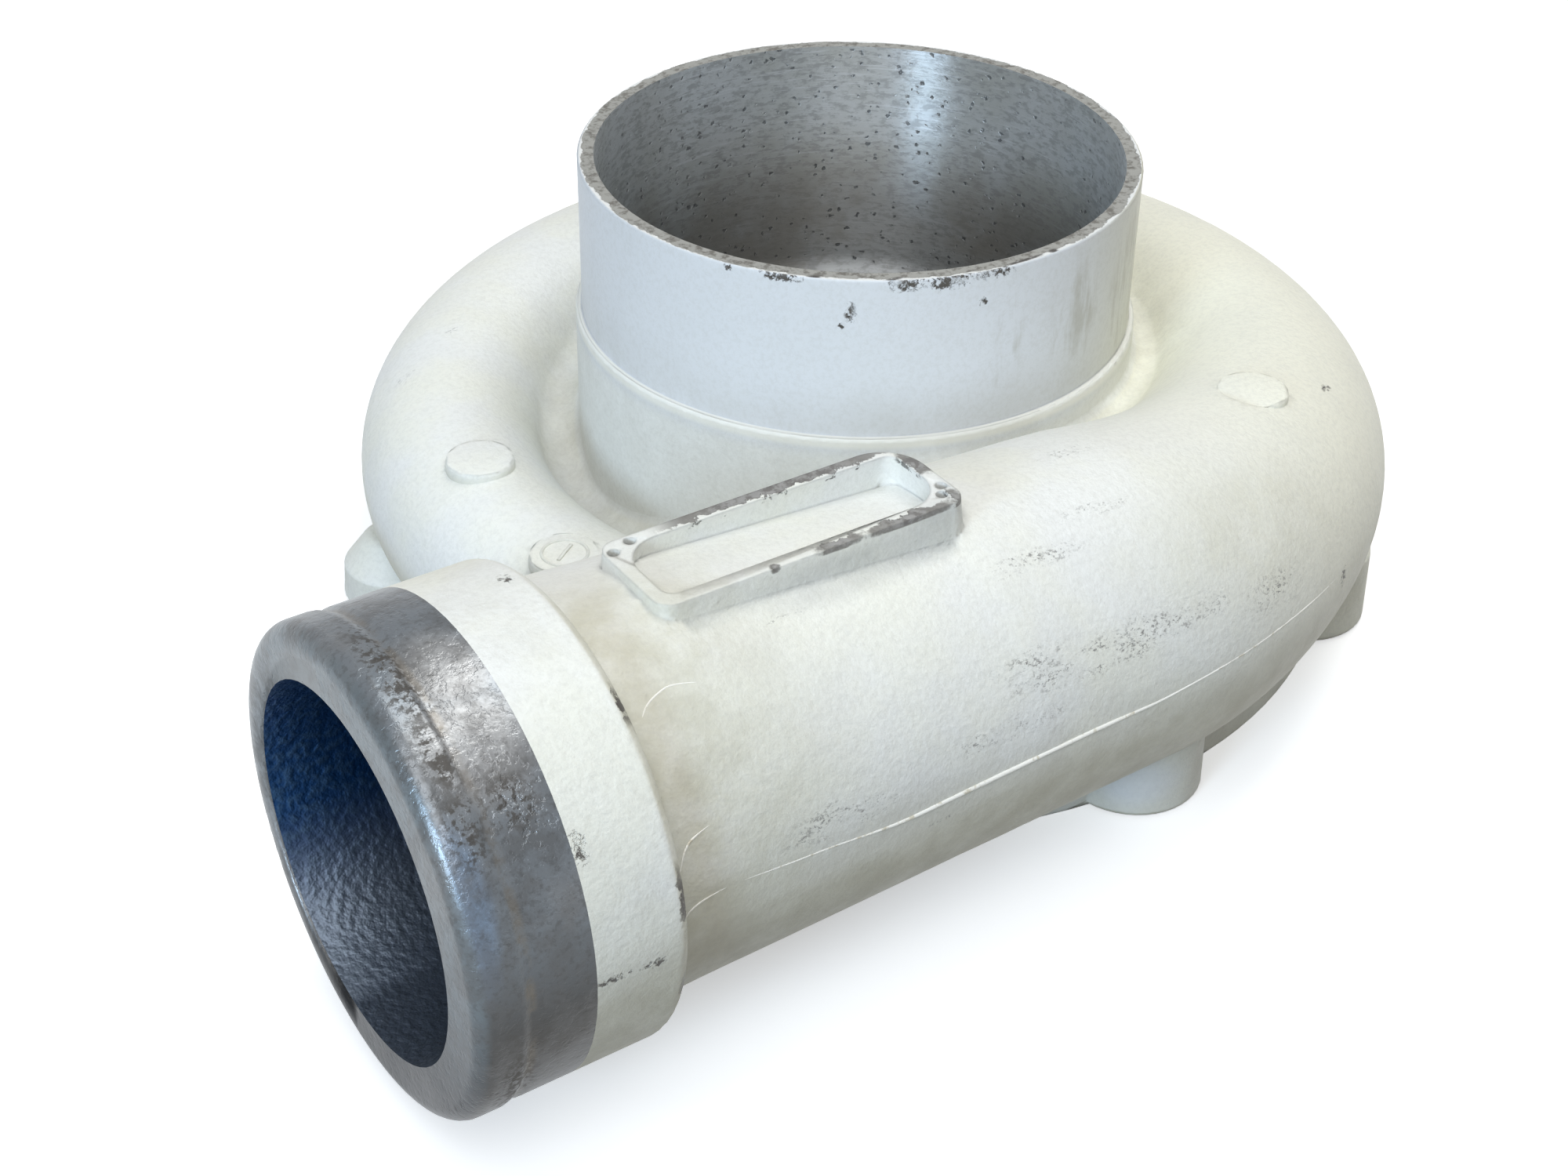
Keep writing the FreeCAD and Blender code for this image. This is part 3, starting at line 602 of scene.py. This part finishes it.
# Painted shade: the inside of each screw hole is coloured near-black.
holes = [((hole_x, hole_y, 96.6), (1.45, 1.45, 3.9)) for hole_x, hole_y in SCREW_HOLES]
screw_hole_shade = patches(tree, place, 0.0, *holes)
chip_line = times(tree, chips, maths(tree, "SUBTRACT", 1.0, chips))
chip_edge = maths(tree, "MULTIPLY", chip_line, CHIP_OUTLINE, clamp=True)
bare_colour = blend(tree, fade(tree, speck, 0.45, 0.62), BARE_CAST, BARE_CAST_DARK)
colour = blend(tree, chips, colour, bare_colour)
colour = blend(tree, times(tree, chip_edge, 0.8), colour, DARK_CHIP)
colour = blend(tree, times(tree, dark, fade(tree, ragged, 0.40, 0.52)), colour, DARK_CHIP)
colour = blend(tree, times(tree, screw_hole_shade, 0.93), colour, HOLE_SHADE)
tree.links.new(colour, shader.inputs["Base Color"])
bared = most(tree, chips, times(tree, rubbed, 0.4))
tree.links.new(times(tree, chips, 0.55), shader.inputs["Metallic"])
gloss = mix_value(tree, bared, mix_value(tree, cloud, 0.38, 0.60), 0.55)
tree.links.new(gloss, shader.inputs["Roughness"])
shader.inputs["Specular IOR Level"].default_value = 0.45

# The spigot was turned before it was painted, so it is smoother than the rest.
SPIGOT_SKIN = (0.0712, 0.0708)
CAST_EDGE_ROUND = 0.0011

skin = node(tree, "ShaderNodeGroup", node_tree=skin_group)
tree.links.new(place, skin.inputs["Place"])
smooth_spigot = mix_value(tree, fade(tree, from_axis, *SPIGOT_SKIN), 1.0, 0.25)
tree.links.new(smooth_spigot, skin.inputs["Peel"])
tree.links.new(smooth_spigot, skin.inputs["Swell"])
worn = most(tree, chips, dark, times(tree, rubbed, 0.15))
relief = maths(tree, "MULTIPLY_ADD", worn, -1.4, skin.outputs[0])
set_normal(tree, shader, relief, 0.9, 0.00020, edge_round=CAST_EDGE_ROUND)
casting.data.materials.append(painted)


# Machined surfaces
# The inlet bore, its floor, the shroud, the diffuser wall and the back face are turned and left bare.
# The bore is scratched round and round, full of small dark pores, and darker towards the bottom.

TURNED = (0.50, 0.53, 0.545)
TURNED_DULL = (0.42, 0.44, 0.425)
TURNED_GRAIN = (0.25, 0.26, 0.265)
SCRATCH = (0.62, 0.65, 0.68)
STAIN = (0.29, 0.265, 0.225)
BORE_DARKER_DEEP = (0.12, 0.118, 0.112)
PORE = (0.04, 0.045, 0.05)
STAIN_HEIGHT = (0.098, 0.055)
BORE_DARKER_HEIGHT = (0.094, 0.062)
PORE_WARP = (0.0026, 0.0026, 0.0014)
PORE_SIZE = 0.27

machined, tree, shader, place = new_material("turned_aluminium")
z = node(tree, "ShaderNodeSeparateXYZ", {0: place}).outputs["Z"]
scratches = noise(tree, place, 1.0, 4.0, 0.7, stretch=(70.0, 70.0, 1500.0))
smear = noise(tree, place, 34.0, 4.0, 0.6)
fine = noise(tree, place, 520.0, 3.0, 0.7, stretch=(0.6, 0.6, 1.5))
warp = node(tree, "ShaderNodeTexNoise", {"Vector": place, "Scale": 700.0, "Detail": 2.0})
warped = vector_maths(tree, "MULTIPLY_ADD", warp.outputs["Color"], PORE_WARP, place)[0]
pores = node(tree, "ShaderNodeTexVoronoi", {"Vector": warped, "Scale": 500.0, "Randomness": 1.0})
chosen = node(tree, "ShaderNodeSeparateXYZ", {0: pores.outputs["Color"]}).outputs["X"]
pore_size = times(tree, fade(tree, chosen, 0.35, 1.0), PORE_SIZE)
pore = fade(tree, maths(tree, "SUBTRACT", pores.outputs["Distance"], pore_size), 0.10, -0.10)
pore = times(tree, pore, fade(tree, chosen, 0.45, 0.95))
metal = blend(tree, fade(tree, smear, 0.35, 0.7), TURNED, TURNED_DULL)
metal = blend(tree, times(tree, fade(tree, fine, 0.45, 0.62), 0.6), metal, TURNED_GRAIN)
metal = blend(tree, times(tree, fade(tree, scratches, 0.56, 0.66), 0.5), metal, SCRATCH)
stain = times(tree, fade(tree, z, *STAIN_HEIGHT), times(tree, fade(tree, smear, 0.38, 0.6), 0.6))
metal = blend(tree, stain, metal, STAIN)
# The bore's colour darkens towards its bottom.
metal = blend(tree, fade(tree, z, *BORE_DARKER_HEIGHT, 0.0, 0.60), metal, BORE_DARKER_DEEP)
metal = blend(tree, times(tree, pore, 0.66), metal, PORE)
tree.links.new(metal, shader.inputs["Base Color"])
shader.inputs["Metallic"].default_value = 0.6
gloss = mix_value(tree, pore, mix_value(tree, fine, 0.32, 0.46), 0.8)
tree.links.new(gloss, shader.inputs["Roughness"])
relief = maths(tree, "MULTIPLY_ADD", scratches, 0.5, times(tree, fine, 0.5))
relief = maths(tree, "MULTIPLY_ADD", pore, -1.2, relief)
set_normal(tree, shader, relief, 0.8, 0.00014)

# The turning marks run round, so a shine is drawn out across them: up the bore and outward on a face.
ACROSS_SCALE = (20.0, 20.0, 0.0)
UPWARD = (0.0, 0.0, 1.0)

across = vector_maths(tree, "MULTIPLY_ADD", place, ACROSS_SCALE, UPWARD)[0]
tree.links.new(across, shader.inputs["Tangent"])
shader.inputs["Anisotropic"].default_value = 0.95
casting.data.materials.append(machined)


# Discharge end
# The last 24 mm, with the bead and the face, was masked from the paint and is bare: dark mottled metal,
# pitted in one place, with a painted highlight on the band, a painted bluish reflection on the bead's front
# edge, and tops painted lighter than undersides. The paint stops at a sharp line.

BAND_SHADED = (0.046, 0.044, 0.041)
BAND_LIT = (0.155, 0.175, 0.195)
FACE_SHADED = (0.022, 0.024, 0.027)
FACE_LIT = (0.130, 0.155, 0.172)
FACE_FAR_LIT = (0.27, 0.285, 0.30)
BAND_HIGHLIGHT = (0.33, 0.335, 0.34)
BLUE_REFLECTION = (0.17, 0.25, 0.37)
MOTTLED_DARK = (0.085, 0.085, 0.085)
BLOTTED = (0.25, 0.25, 0.25)
GRAIN_DARK = (0.05, 0.048, 0.045)
GROOVE_DIRT = (0.20, 0.165, 0.115)
SOOT = (0.05, 0.044, 0.037)
FACE_START = (-0.1955, -0.1975)
BAND_HEIGHT = (0.045, 0.085)
FACE_HEIGHT = (0.015, 0.075)
FACE_FAR_SIDE = (-0.100, -0.076)
FACE_FAR_HEIGHT = (0.095, 0.070)
GROOVE_PLACE = -0.1876
GROOVE_EDGE = (0.0016, 0.0004)

bare_end, tree, shader, place = new_material("bare_discharge_end")
axes = node(tree, "ShaderNodeSeparateXYZ", {0: place}).outputs
x, y, z = axes["X"], axes["Y"], axes["Z"]
mottle = noise(tree, place, 120.0, 5.0, 0.68)
blot = noise(tree, place, 42.0, 4.0, 0.6)
grit = noise(tree, place, 800.0, 3.0, 0.6)
on_face = fade(tree, x, *FACE_START)
# Painted light and shade: the band and the face are lighter on top and darker below, and the face is lighter
# at its far upper side.
band = blend(tree, fade(tree, z, *BAND_HEIGHT), BAND_SHADED, BAND_LIT)
face_metal = blend(tree, fade(tree, z, *FACE_HEIGHT), FACE_SHADED, FACE_LIT)
far_side = times(tree, fade(tree, y, *FACE_FAR_SIDE), fade(tree, z, *FACE_FAR_HEIGHT))
face_metal = blend(tree, times(tree, far_side, 0.6), face_metal, FACE_FAR_LIT)
# Painted highlight: a bright patch on the band where the ceiling lamp shines.
band_highlight = patches(
    tree, place, 0.4,
    ((-184, -141, 98), (16, 17, 14)),
    ((-181, -126, 104.5), (12, 15, 7)),
)
band = blend(tree, times(tree, band_highlight, 0.8), band, BAND_HIGHLIGHT)
# Painted reflection: a bluish patch on the bead's front edge for the window's light.
blue_reflection = patch(tree, place, (-195, -158, 78), (5, 12, 26), 0.3)
band = blend(tree, times(tree, blue_reflection, 0.55), band, BLUE_REFLECTION)
metal = blend(tree, on_face, band, face_metal)
metal = blend(tree, times(tree, fade(tree, mottle, 0.40, 0.62), 0.55), metal, MOTTLED_DARK)
metal = blend(tree, times(tree, fade(tree, blot, 0.48, 0.70), 0.22), metal, BLOTTED)
metal = blend(tree, times(tree, fade(tree, grit, 0.50, 0.66), 0.30), metal, GRAIN_DARK)
from_groove = maths(tree, "ABSOLUTE", maths(tree, "SUBTRACT", x, GROOVE_PLACE))
groove = times(tree, fade(tree, from_groove, *GROOVE_EDGE), fade(tree, mottle, 0.36, 0.60))
metal = blend(tree, times(tree, groove, 0.28), metal, GROOVE_DIRT)
soot_places = patches(
    tree, place, mottle,
    ((-190, -124, 106), (6, 30, 10)),
    ((-191, -142, 99), (5, 16, 12)),
    ((-182, -151, 92), (9, 9, 14)),
    ((-192, -152, 90), (6, 12, 20)),
    ((-190, -160, 40), (8, 14, 22)),
)
speckled = maths(tree, "MULTIPLY_ADD", grit, 0.6, times(tree, mottle, 0.5))
soot = times(tree, soot_places, fade(tree, speckled, 0.52, 0.60))
metal = blend(tree, times(tree, soot, 0.75), metal, SOOT)
tree.links.new(metal, shader.inputs["Base Color"])
shader.inputs["Metallic"].default_value = 0.88
gloss = mix_value(tree, soot, mix_value(tree, mottle, 0.26, 0.42), 0.6)
tree.links.new(gloss, shader.inputs["Roughness"])
rough_patch = patch(tree, place, (-180, -152, 90), (8, 12, 16), mottle)
pits = fade(tree, noise(tree, place, 520.0, 3.0, 0.6), 0.50, 0.62)
pit_depth = times(tree, pits, mix_value(tree, rough_patch, 0.25, 1.3))
relief = maths(tree, "MULTIPLY_ADD", grit, 0.35, times(tree, mottle, 0.35))
relief = maths(tree, "MULTIPLY_ADD", pit_depth, -1.0, relief)
set_normal(tree, shader, relief, 0.8, 0.00020)
casting.data.materials.append(bare_end)


# Air passage
# Inside the discharge and the scroll is the sand core's skin: rough, pitted and never painted. Its blue-black
# colour is painted shade for the dark inside of the passage, and it is lighter towards the bottom.

CORE_SHADE = (0.004, 0.036, 0.115)
CORE_SHADE_PALER = (0.020, 0.060, 0.135)
CORE_LOWER = (0.145, 0.165, 0.185)
CORE_LOWER_HEIGHT = (0.046, 0.022)

core_skin, tree, shader, place = new_material("rough_core_skin")
lumps = noise(tree, place, 560.0, 2.0, 0.5)
large = noise(tree, place, 170.0, 2.0, 0.5)
core_shade = blend(tree, fade(tree, lumps, 0.4, 0.65), CORE_SHADE, CORE_SHADE_PALER)
z = node(tree, "ShaderNodeSeparateXYZ", {0: place}).outputs["Z"]
lower_part = times(tree, fade(tree, z, *CORE_LOWER_HEIGHT), 0.75)
core_shade = blend(tree, lower_part, core_shade, CORE_LOWER)
tree.links.new(core_shade, shader.inputs["Base Color"])
shader.inputs["Metallic"].default_value = 0.75
shader.inputs["Roughness"].default_value = 0.42
relief = maths(tree, "MULTIPLY_ADD", large, 0.7, lumps)
set_normal(tree, shader, relief, 0.9, 0.0004)
casting.data.materials.append(core_skin)


# Rim
# The inlet's end face was painted too, but the paint has worn off most of it. What is left clings to the
# outer edge in front and along the back, round dirty grey-brown metal.

RIM_METAL = (0.30, 0.30, 0.28)
RIM_METAL_DARK = (0.12, 0.114, 0.10)
RIM_PAINT = (0.74, 0.75, 0.74)
RIM_CRACK = (0.05, 0.045, 0.04)
RIM_FRONT = (-0.01, -0.05)
RIM_PAINT_BACK_RADIUS = 0.0690
RIM_PAINT_FRONT_RADIUS = 0.0689

rim_end, tree, shader, place = new_material("worn_rim")
axes = node(tree, "ShaderNodeSeparateXYZ", {0: place}).outputs
from_axis = hypotenuse(tree, axes["X"], axes["Y"])
crumbs = noise(tree, place, 380.0, 4.0, 0.7)
along = noise(tree, place, 60.0, 4.0, 0.65)
front = fade(tree, axes["Y"], *RIM_FRONT)
edge = mix_value(tree, front, RIM_PAINT_BACK_RADIUS, RIM_PAINT_FRONT_RADIUS)
ragged = maths(tree, "MULTIPLY_ADD", crumbs, 0.6, along)
ragged = maths(tree, "MULTIPLY_ADD", ragged, 0.0040, -0.0032)
past_edge = maths(tree, "SUBTRACT", maths(tree, "ADD", from_axis, ragged), edge)
kept = fade(tree, past_edge, -0.0001, 0.0002)
metal = blend(tree, fade(tree, crumbs, 0.45, 0.65), RIM_METAL, RIM_METAL_DARK)
colour = blend(tree, kept, metal, RIM_PAINT)
cracks = patches(
    tree, place, crumbs,
    ((-3, -68.7, 113), (9, 0.9, 2)),
    ((-18, -67.6, 113), (3, 1.2, 2)),
    ((6, -68.6, 113), (2, 1.6, 2)),
    ((-35, -60.5, 113), (6, 1.4, 2)),
    ((-49, -50, 113), (5, 2, 2)),
)
colour = blend(tree, cracks, colour, RIM_CRACK)
tree.links.new(colour, shader.inputs["Base Color"])
tree.links.new(times(tree, maths(tree, "SUBTRACT", 1.0, kept), 0.3), shader.inputs["Metallic"])
shader.inputs["Roughness"].default_value = 0.55
relief = maths(tree, "MULTIPLY_ADD", kept, 0.9, crumbs)
set_normal(tree, shader, relief, 0.8, 0.0003)
casting.data.materials.append(rim_end)

# Each face gets the finish of the surface it is on. The sizes are the casting's own, in metres.
PAINTED, MACHINED, BARE_END, CORE_SKIN, RIM = range(5)
RIM_HEIGHT = 0.113
RIM_TOLERANCE = 0.0001
BORE_RADIUS = 0.0662
WHEEL_SPACE_HEIGHT = 0.009
PAINT_LINE = -0.1742
PIPE_START = -0.05
PIPE_SIDE = -0.07
DIFFUSER_WALL_HEIGHT = 0.0118
DIFFUSER_RADIUS = 0.096
STEP_OFF = 0.0002
BOLT_CIRCLE_RADIUS = 0.1225
BOLT_HOLE_RADIUS = 0.0044
BOLT_HOLE_END = 0.0135
FRAME_FOOT = 0.0915

bpy.ops.object.select_all(action="DESELECT")
casting.select_set(True)
bpy.context.view_layer.objects.active = casting
bpy.ops.object.mode_set(mode="EDIT")
bpy.ops.mesh.select_all(action="SELECT")
bpy.ops.mesh.bisect(plane_co=(PAINT_LINE, 0, 0), plane_no=(1, 0, 0))
bpy.ops.mesh.select_mode(type="FACE")
bpy.ops.mesh.select_all(action="DESELECT")
bpy.ops.object.mode_set(mode="OBJECT")

metal_round = BVHTree.FromPolygons(
    [corner.co for corner in casting.data.vertices],
    [face.vertices for face in casting.data.polygons],
)


def walled_in(spot, normal):
    """Whether metal lies above, outside and on both sides of a face, as it does in the air passage."""
    if spot.z > FRAME_FOOT and normal.z > -0.5:
        return False  # The raised frame's walls, which lean over their own foot
    if spot.x < PIPE_START and spot.y < PIPE_SIDE:
        ways = ((0, -1, 0), (0, 1, 0), (0, 0, 1), (0, 0, -1))
    else:
        outside = Vector((spot.x, spot.y, 0)).normalized()
        ways = (outside, (-outside.y, outside.x, 0), (outside.y, -outside.x, 0), (0, 0, 1))
    start = spot + normal * STEP_OFF
    return all(metal_round.ray_cast(start, Vector(way))[0] is not None for way in ways)


for face in casting.data.polygons:
    spot, normal = face.center, face.normal
    radius = math.hypot(spot.x, spot.y)
    outward = (normal.x * spot.x + normal.y * spot.y) / max(radius, 1e-6)
    face.material_index = PAINTED
    if radius < BORE_RADIUS and spot.z > WHEEL_SPACE_HEIGHT:
        face.material_index = MACHINED
    elif spot.z > RIM_HEIGHT - RIM_TOLERANCE and normal.z > 0.9:
        face.material_index = RIM
    elif walled_in(spot, normal):
        face.material_index = CORE_SKIN
    elif spot.x < PAINT_LINE:
        face.material_index = BARE_END
    elif spot.z < DIFFUSER_WALL_HEIGHT and (normal.z < -0.9 or outward < -0.5):
        face.material_index = MACHINED

# The passage is the stretch of walled-in faces that reaches the mouth of the discharge. Its floor, the
# diffuser wall and the bolt holes are turned or drilled. What else lies under an overhang is painted.
for face in casting.data.polygons:
    face.select = face.material_index == CORE_SKIN and face.center.x < PAINT_LINE
bpy.ops.object.mode_set(mode="EDIT")
bpy.ops.mesh.select_linked(delimit={"MATERIAL"})
bpy.ops.object.mode_set(mode="OBJECT")
for face in casting.data.polygons:
    if face.material_index == CORE_SKIN:
        spot, radius = face.center, math.hypot(face.center.x, face.center.y)
        turned = spot.z < DIFFUSER_WALL_HEIGHT or (radius < DIFFUSER_RADIUS and face.normal.z < -0.9)
        drilled = spot.z < BOLT_HOLE_END and abs(radius - BOLT_CIRCLE_RADIUS) < BOLT_HOLE_RADIUS
        if drilled or (turned and face.select):
            face.material_index = MACHINED
        elif not face.select:
            face.material_index = PAINTED

bpy.ops.object.modifier_apply(modifier=casting.modifiers[-1].name)


# Parting flash
# Where the halves of the mould met, a thin fin was left along the discharge and ground down. It stands
# up as a bright line, and short cold laps lie beside the collar. Each is a low round bead on the skin,
# given by its points in millimetres, with its share of the thickness at each.

FLASH_POINTS = (
    ("parting_flash", 0.00050, (
        (-140, -159.7, 58.6, 0.2), (-128, -159.4, 57.2, 0.5), (-117, -159.1, 56.4, 0.45),
        (-107, -158.8, 55.0, 0.6), (-98, -158.5, 54.2, 1.0), (-86, -158.1, 54.4, 1.15),
        (-73.5, -157.6, 54.4, 1.25), (-60, -157.2, 54.6, 1.1), (-47.8, -156.7, 54.5, 1.2),
        (-38, -156.4, 54.2, 0.9), (-30, -156.1, 54.0, 0.7), (-20, -155.7, 54.6, 0.55),
        (-11.6, -155.2, 55.2, 0.7), (0, -153.8, 55.8, 0.75), (10.3, -151.5, 56.0, 0.65),
        (21, -148.4, 55.6, 0.7), (32, -144.2, 54.9, 0.6), (41, -140.2, 54.0, 0.2),
    )),
    ("cold_lap_top", 0.00028, (
        (-150.5, -143.5, 90.0, 0.3), (-148.5, -141.2, 91.6, 0.9), (-144.5, -139.4, 92.4, 0.9),
        (-140.0, -138.5, 92.8, 0.8), (-133.3, -140.2, 91.2, 0.2),
    )),
    ("cold_lap_middle", 0.00032, (
        (-152.5, -158.8, 64.0, 0.3), (-151.5, -158.4, 67.0, 0.7), (-149.5, -157.5, 70.6, 1.0),
        (-146.5, -157.2, 72.0, 0.8), (-142.0, -157.0, 73.0, 0.2),
    )),
    ("cold_lap_low", 0.00030, (
        (-152.5, -160.2, 53.5, 0.3), (-151.5, -160.2, 56.0, 0.7), (-149.5, -160.2, 57.6, 1.0),
        (-146.0, -160.1, 58.4, 0.9), (-141.0, -159.8, 58.6, 0.3),
    )),
)
FLASH_SINK = 0.00012

# The fins' paint is whiter than the casting's, as a painted highlight along each bead, with dirtier patches.
FLASH_PAINT_HIGHLIGHT = (0.90, 0.89, 0.83)
FLASH_DIRTY = (0.62, 0.58, 0.47)

fin_paint_and_highlight, tree, shader, place = new_material("flash_paint_and_highlight")
crumbs = noise(tree, place, 420.0, 3.0, 0.6)
fin_colour = blend(tree, fade(tree, crumbs, 0.52, 0.66), FLASH_PAINT_HIGHLIGHT, FLASH_DIRTY)
tree.links.new(fin_colour, shader.inputs["Base Color"])
tree.links.new(mix_value(tree, crumbs, 0.35, 0.6), shader.inputs["Roughness"])
set_normal(tree, shader, crumbs, 0.6, 0.0001)
for name, thickness, points in FLASH_POINTS:
    bpy.ops.object.select_all(action="DESELECT")
    bpy.ops.curve.primitive_nurbs_path_add(location=(0, 0, 0))
    fin = bpy.context.object
    fin.name = name
    line = fin.data.splines[0]
    line.points.add(len(points) - len(line.points))
    for point, (px, py, pz, thick) in zip(line.points, points):
        on_skin, outward = casting.closest_point_on_mesh(Vector((px, py, pz)) / 1000)[1:3]
        point.co = (*(on_skin - outward * FLASH_SINK), 1.0)
        point.radius = thick
    line.order_u = 3
    line.use_endpoint_u = True
    fin.data.bevel_depth = thickness
    fin.data.bevel_resolution = 3
    fin.data.use_fill_caps = True
    bpy.ops.object.convert(target="MESH")
    fin = bpy.context.object
    bpy.ops.object.transform_apply(location=True, rotation=True, scale=True)
    bpy.ops.object.shade_smooth()
    fin.data.materials.clear()
    fin.data.materials.append(fin_paint_and_highlight)
    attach(fin, "root")


# Cast pads
# Three low round pads stand on the scroll, with soft rims. Each gets a smooth cap just over the casting's
# own, whose outline is made of straight bits.

PAD_TOPS = (
    ("side_pad", (-0.10574, 0.00739, 0.0546)),
    ("tongue_pad", (-0.10669, -0.03570, 0.0514)),
    ("throat_pad", (0.03996, -0.10409, 0.0832)),
)
PAD_CAP_RADIUS = 0.00835
PAD_CAP_SPREAD = 0.0002
PAD_CAP_DEPTH = 0.0040
PAD_CAP_LIFT = 0.00004
PAD_RIM_ROUND = 0.0009

for name, (cap_x, cap_y, cap_top) in PAD_TOPS:
    bpy.ops.object.select_all(action="DESELECT")
    bpy.ops.mesh.primitive_cone_add(
        vertices=96,
        radius1=PAD_CAP_RADIUS + PAD_CAP_SPREAD,
        radius2=PAD_CAP_RADIUS,
        depth=PAD_CAP_DEPTH,
        location=(cap_x, cap_y, cap_top + PAD_CAP_LIFT - PAD_CAP_DEPTH / 2),
    )
    cap = bpy.context.object
    cap.name = name
    bpy.ops.object.transform_apply(location=True, rotation=True, scale=True)
    bpy.ops.object.modifier_add(type="BEVEL")
    cap.modifiers[-1].width = PAD_RIM_ROUND
    cap.modifiers[-1].segments = 4
    cap.modifiers[-1].limit_method = "ANGLE"
    bpy.ops.object.modifier_apply(modifier=cap.modifiers[-1].name)
    bpy.ops.object.shade_smooth_by_angle(angle=math.radians(SHARP_ANGLE))
    cap.data.materials.append(painted)
    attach(cap, "root")


# Date ring
# A plain ring with a pointer stands on the low pad beside the collar, cast with it, where such housings
# carry a date mark. It is the same metal as the casting and is painted over.

RING_MIDDLE = (-0.10669, -0.03570, 0.05145)
RING_RADIUS = 0.0054
RING_THICKNESS = 0.00042
POINTER_TURN = 35

bpy.ops.object.select_all(action="DESELECT")
bpy.ops.mesh.primitive_torus_add(
    major_radius=RING_RADIUS,
    minor_radius=RING_THICKNESS,
    major_segments=64,
    minor_segments=10,
    location=RING_MIDDLE,
)
date_ring = bpy.context.object
date_ring.name = "date_ring"
bpy.ops.object.transform_apply(location=True, rotation=True, scale=True)
bpy.ops.object.shade_smooth()
bpy.ops.object.select_all(action="DESELECT")
bpy.ops.mesh.primitive_cube_add(size=1.0, location=RING_MIDDLE, rotation=(0, 0, math.radians(POINTER_TURN)))
pointer = bpy.context.object
pointer.name = "date_pointer"
pointer.scale = (RING_RADIUS * 1.3, RING_THICKNESS * 2, RING_THICKNESS * 1.6)
bpy.ops.object.transform_apply(location=True, rotation=True, scale=True)
for mark in (date_ring, pointer):
    mark.data.materials.append(painted)
    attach(mark, "root")

bpy.context.view_layer.update()
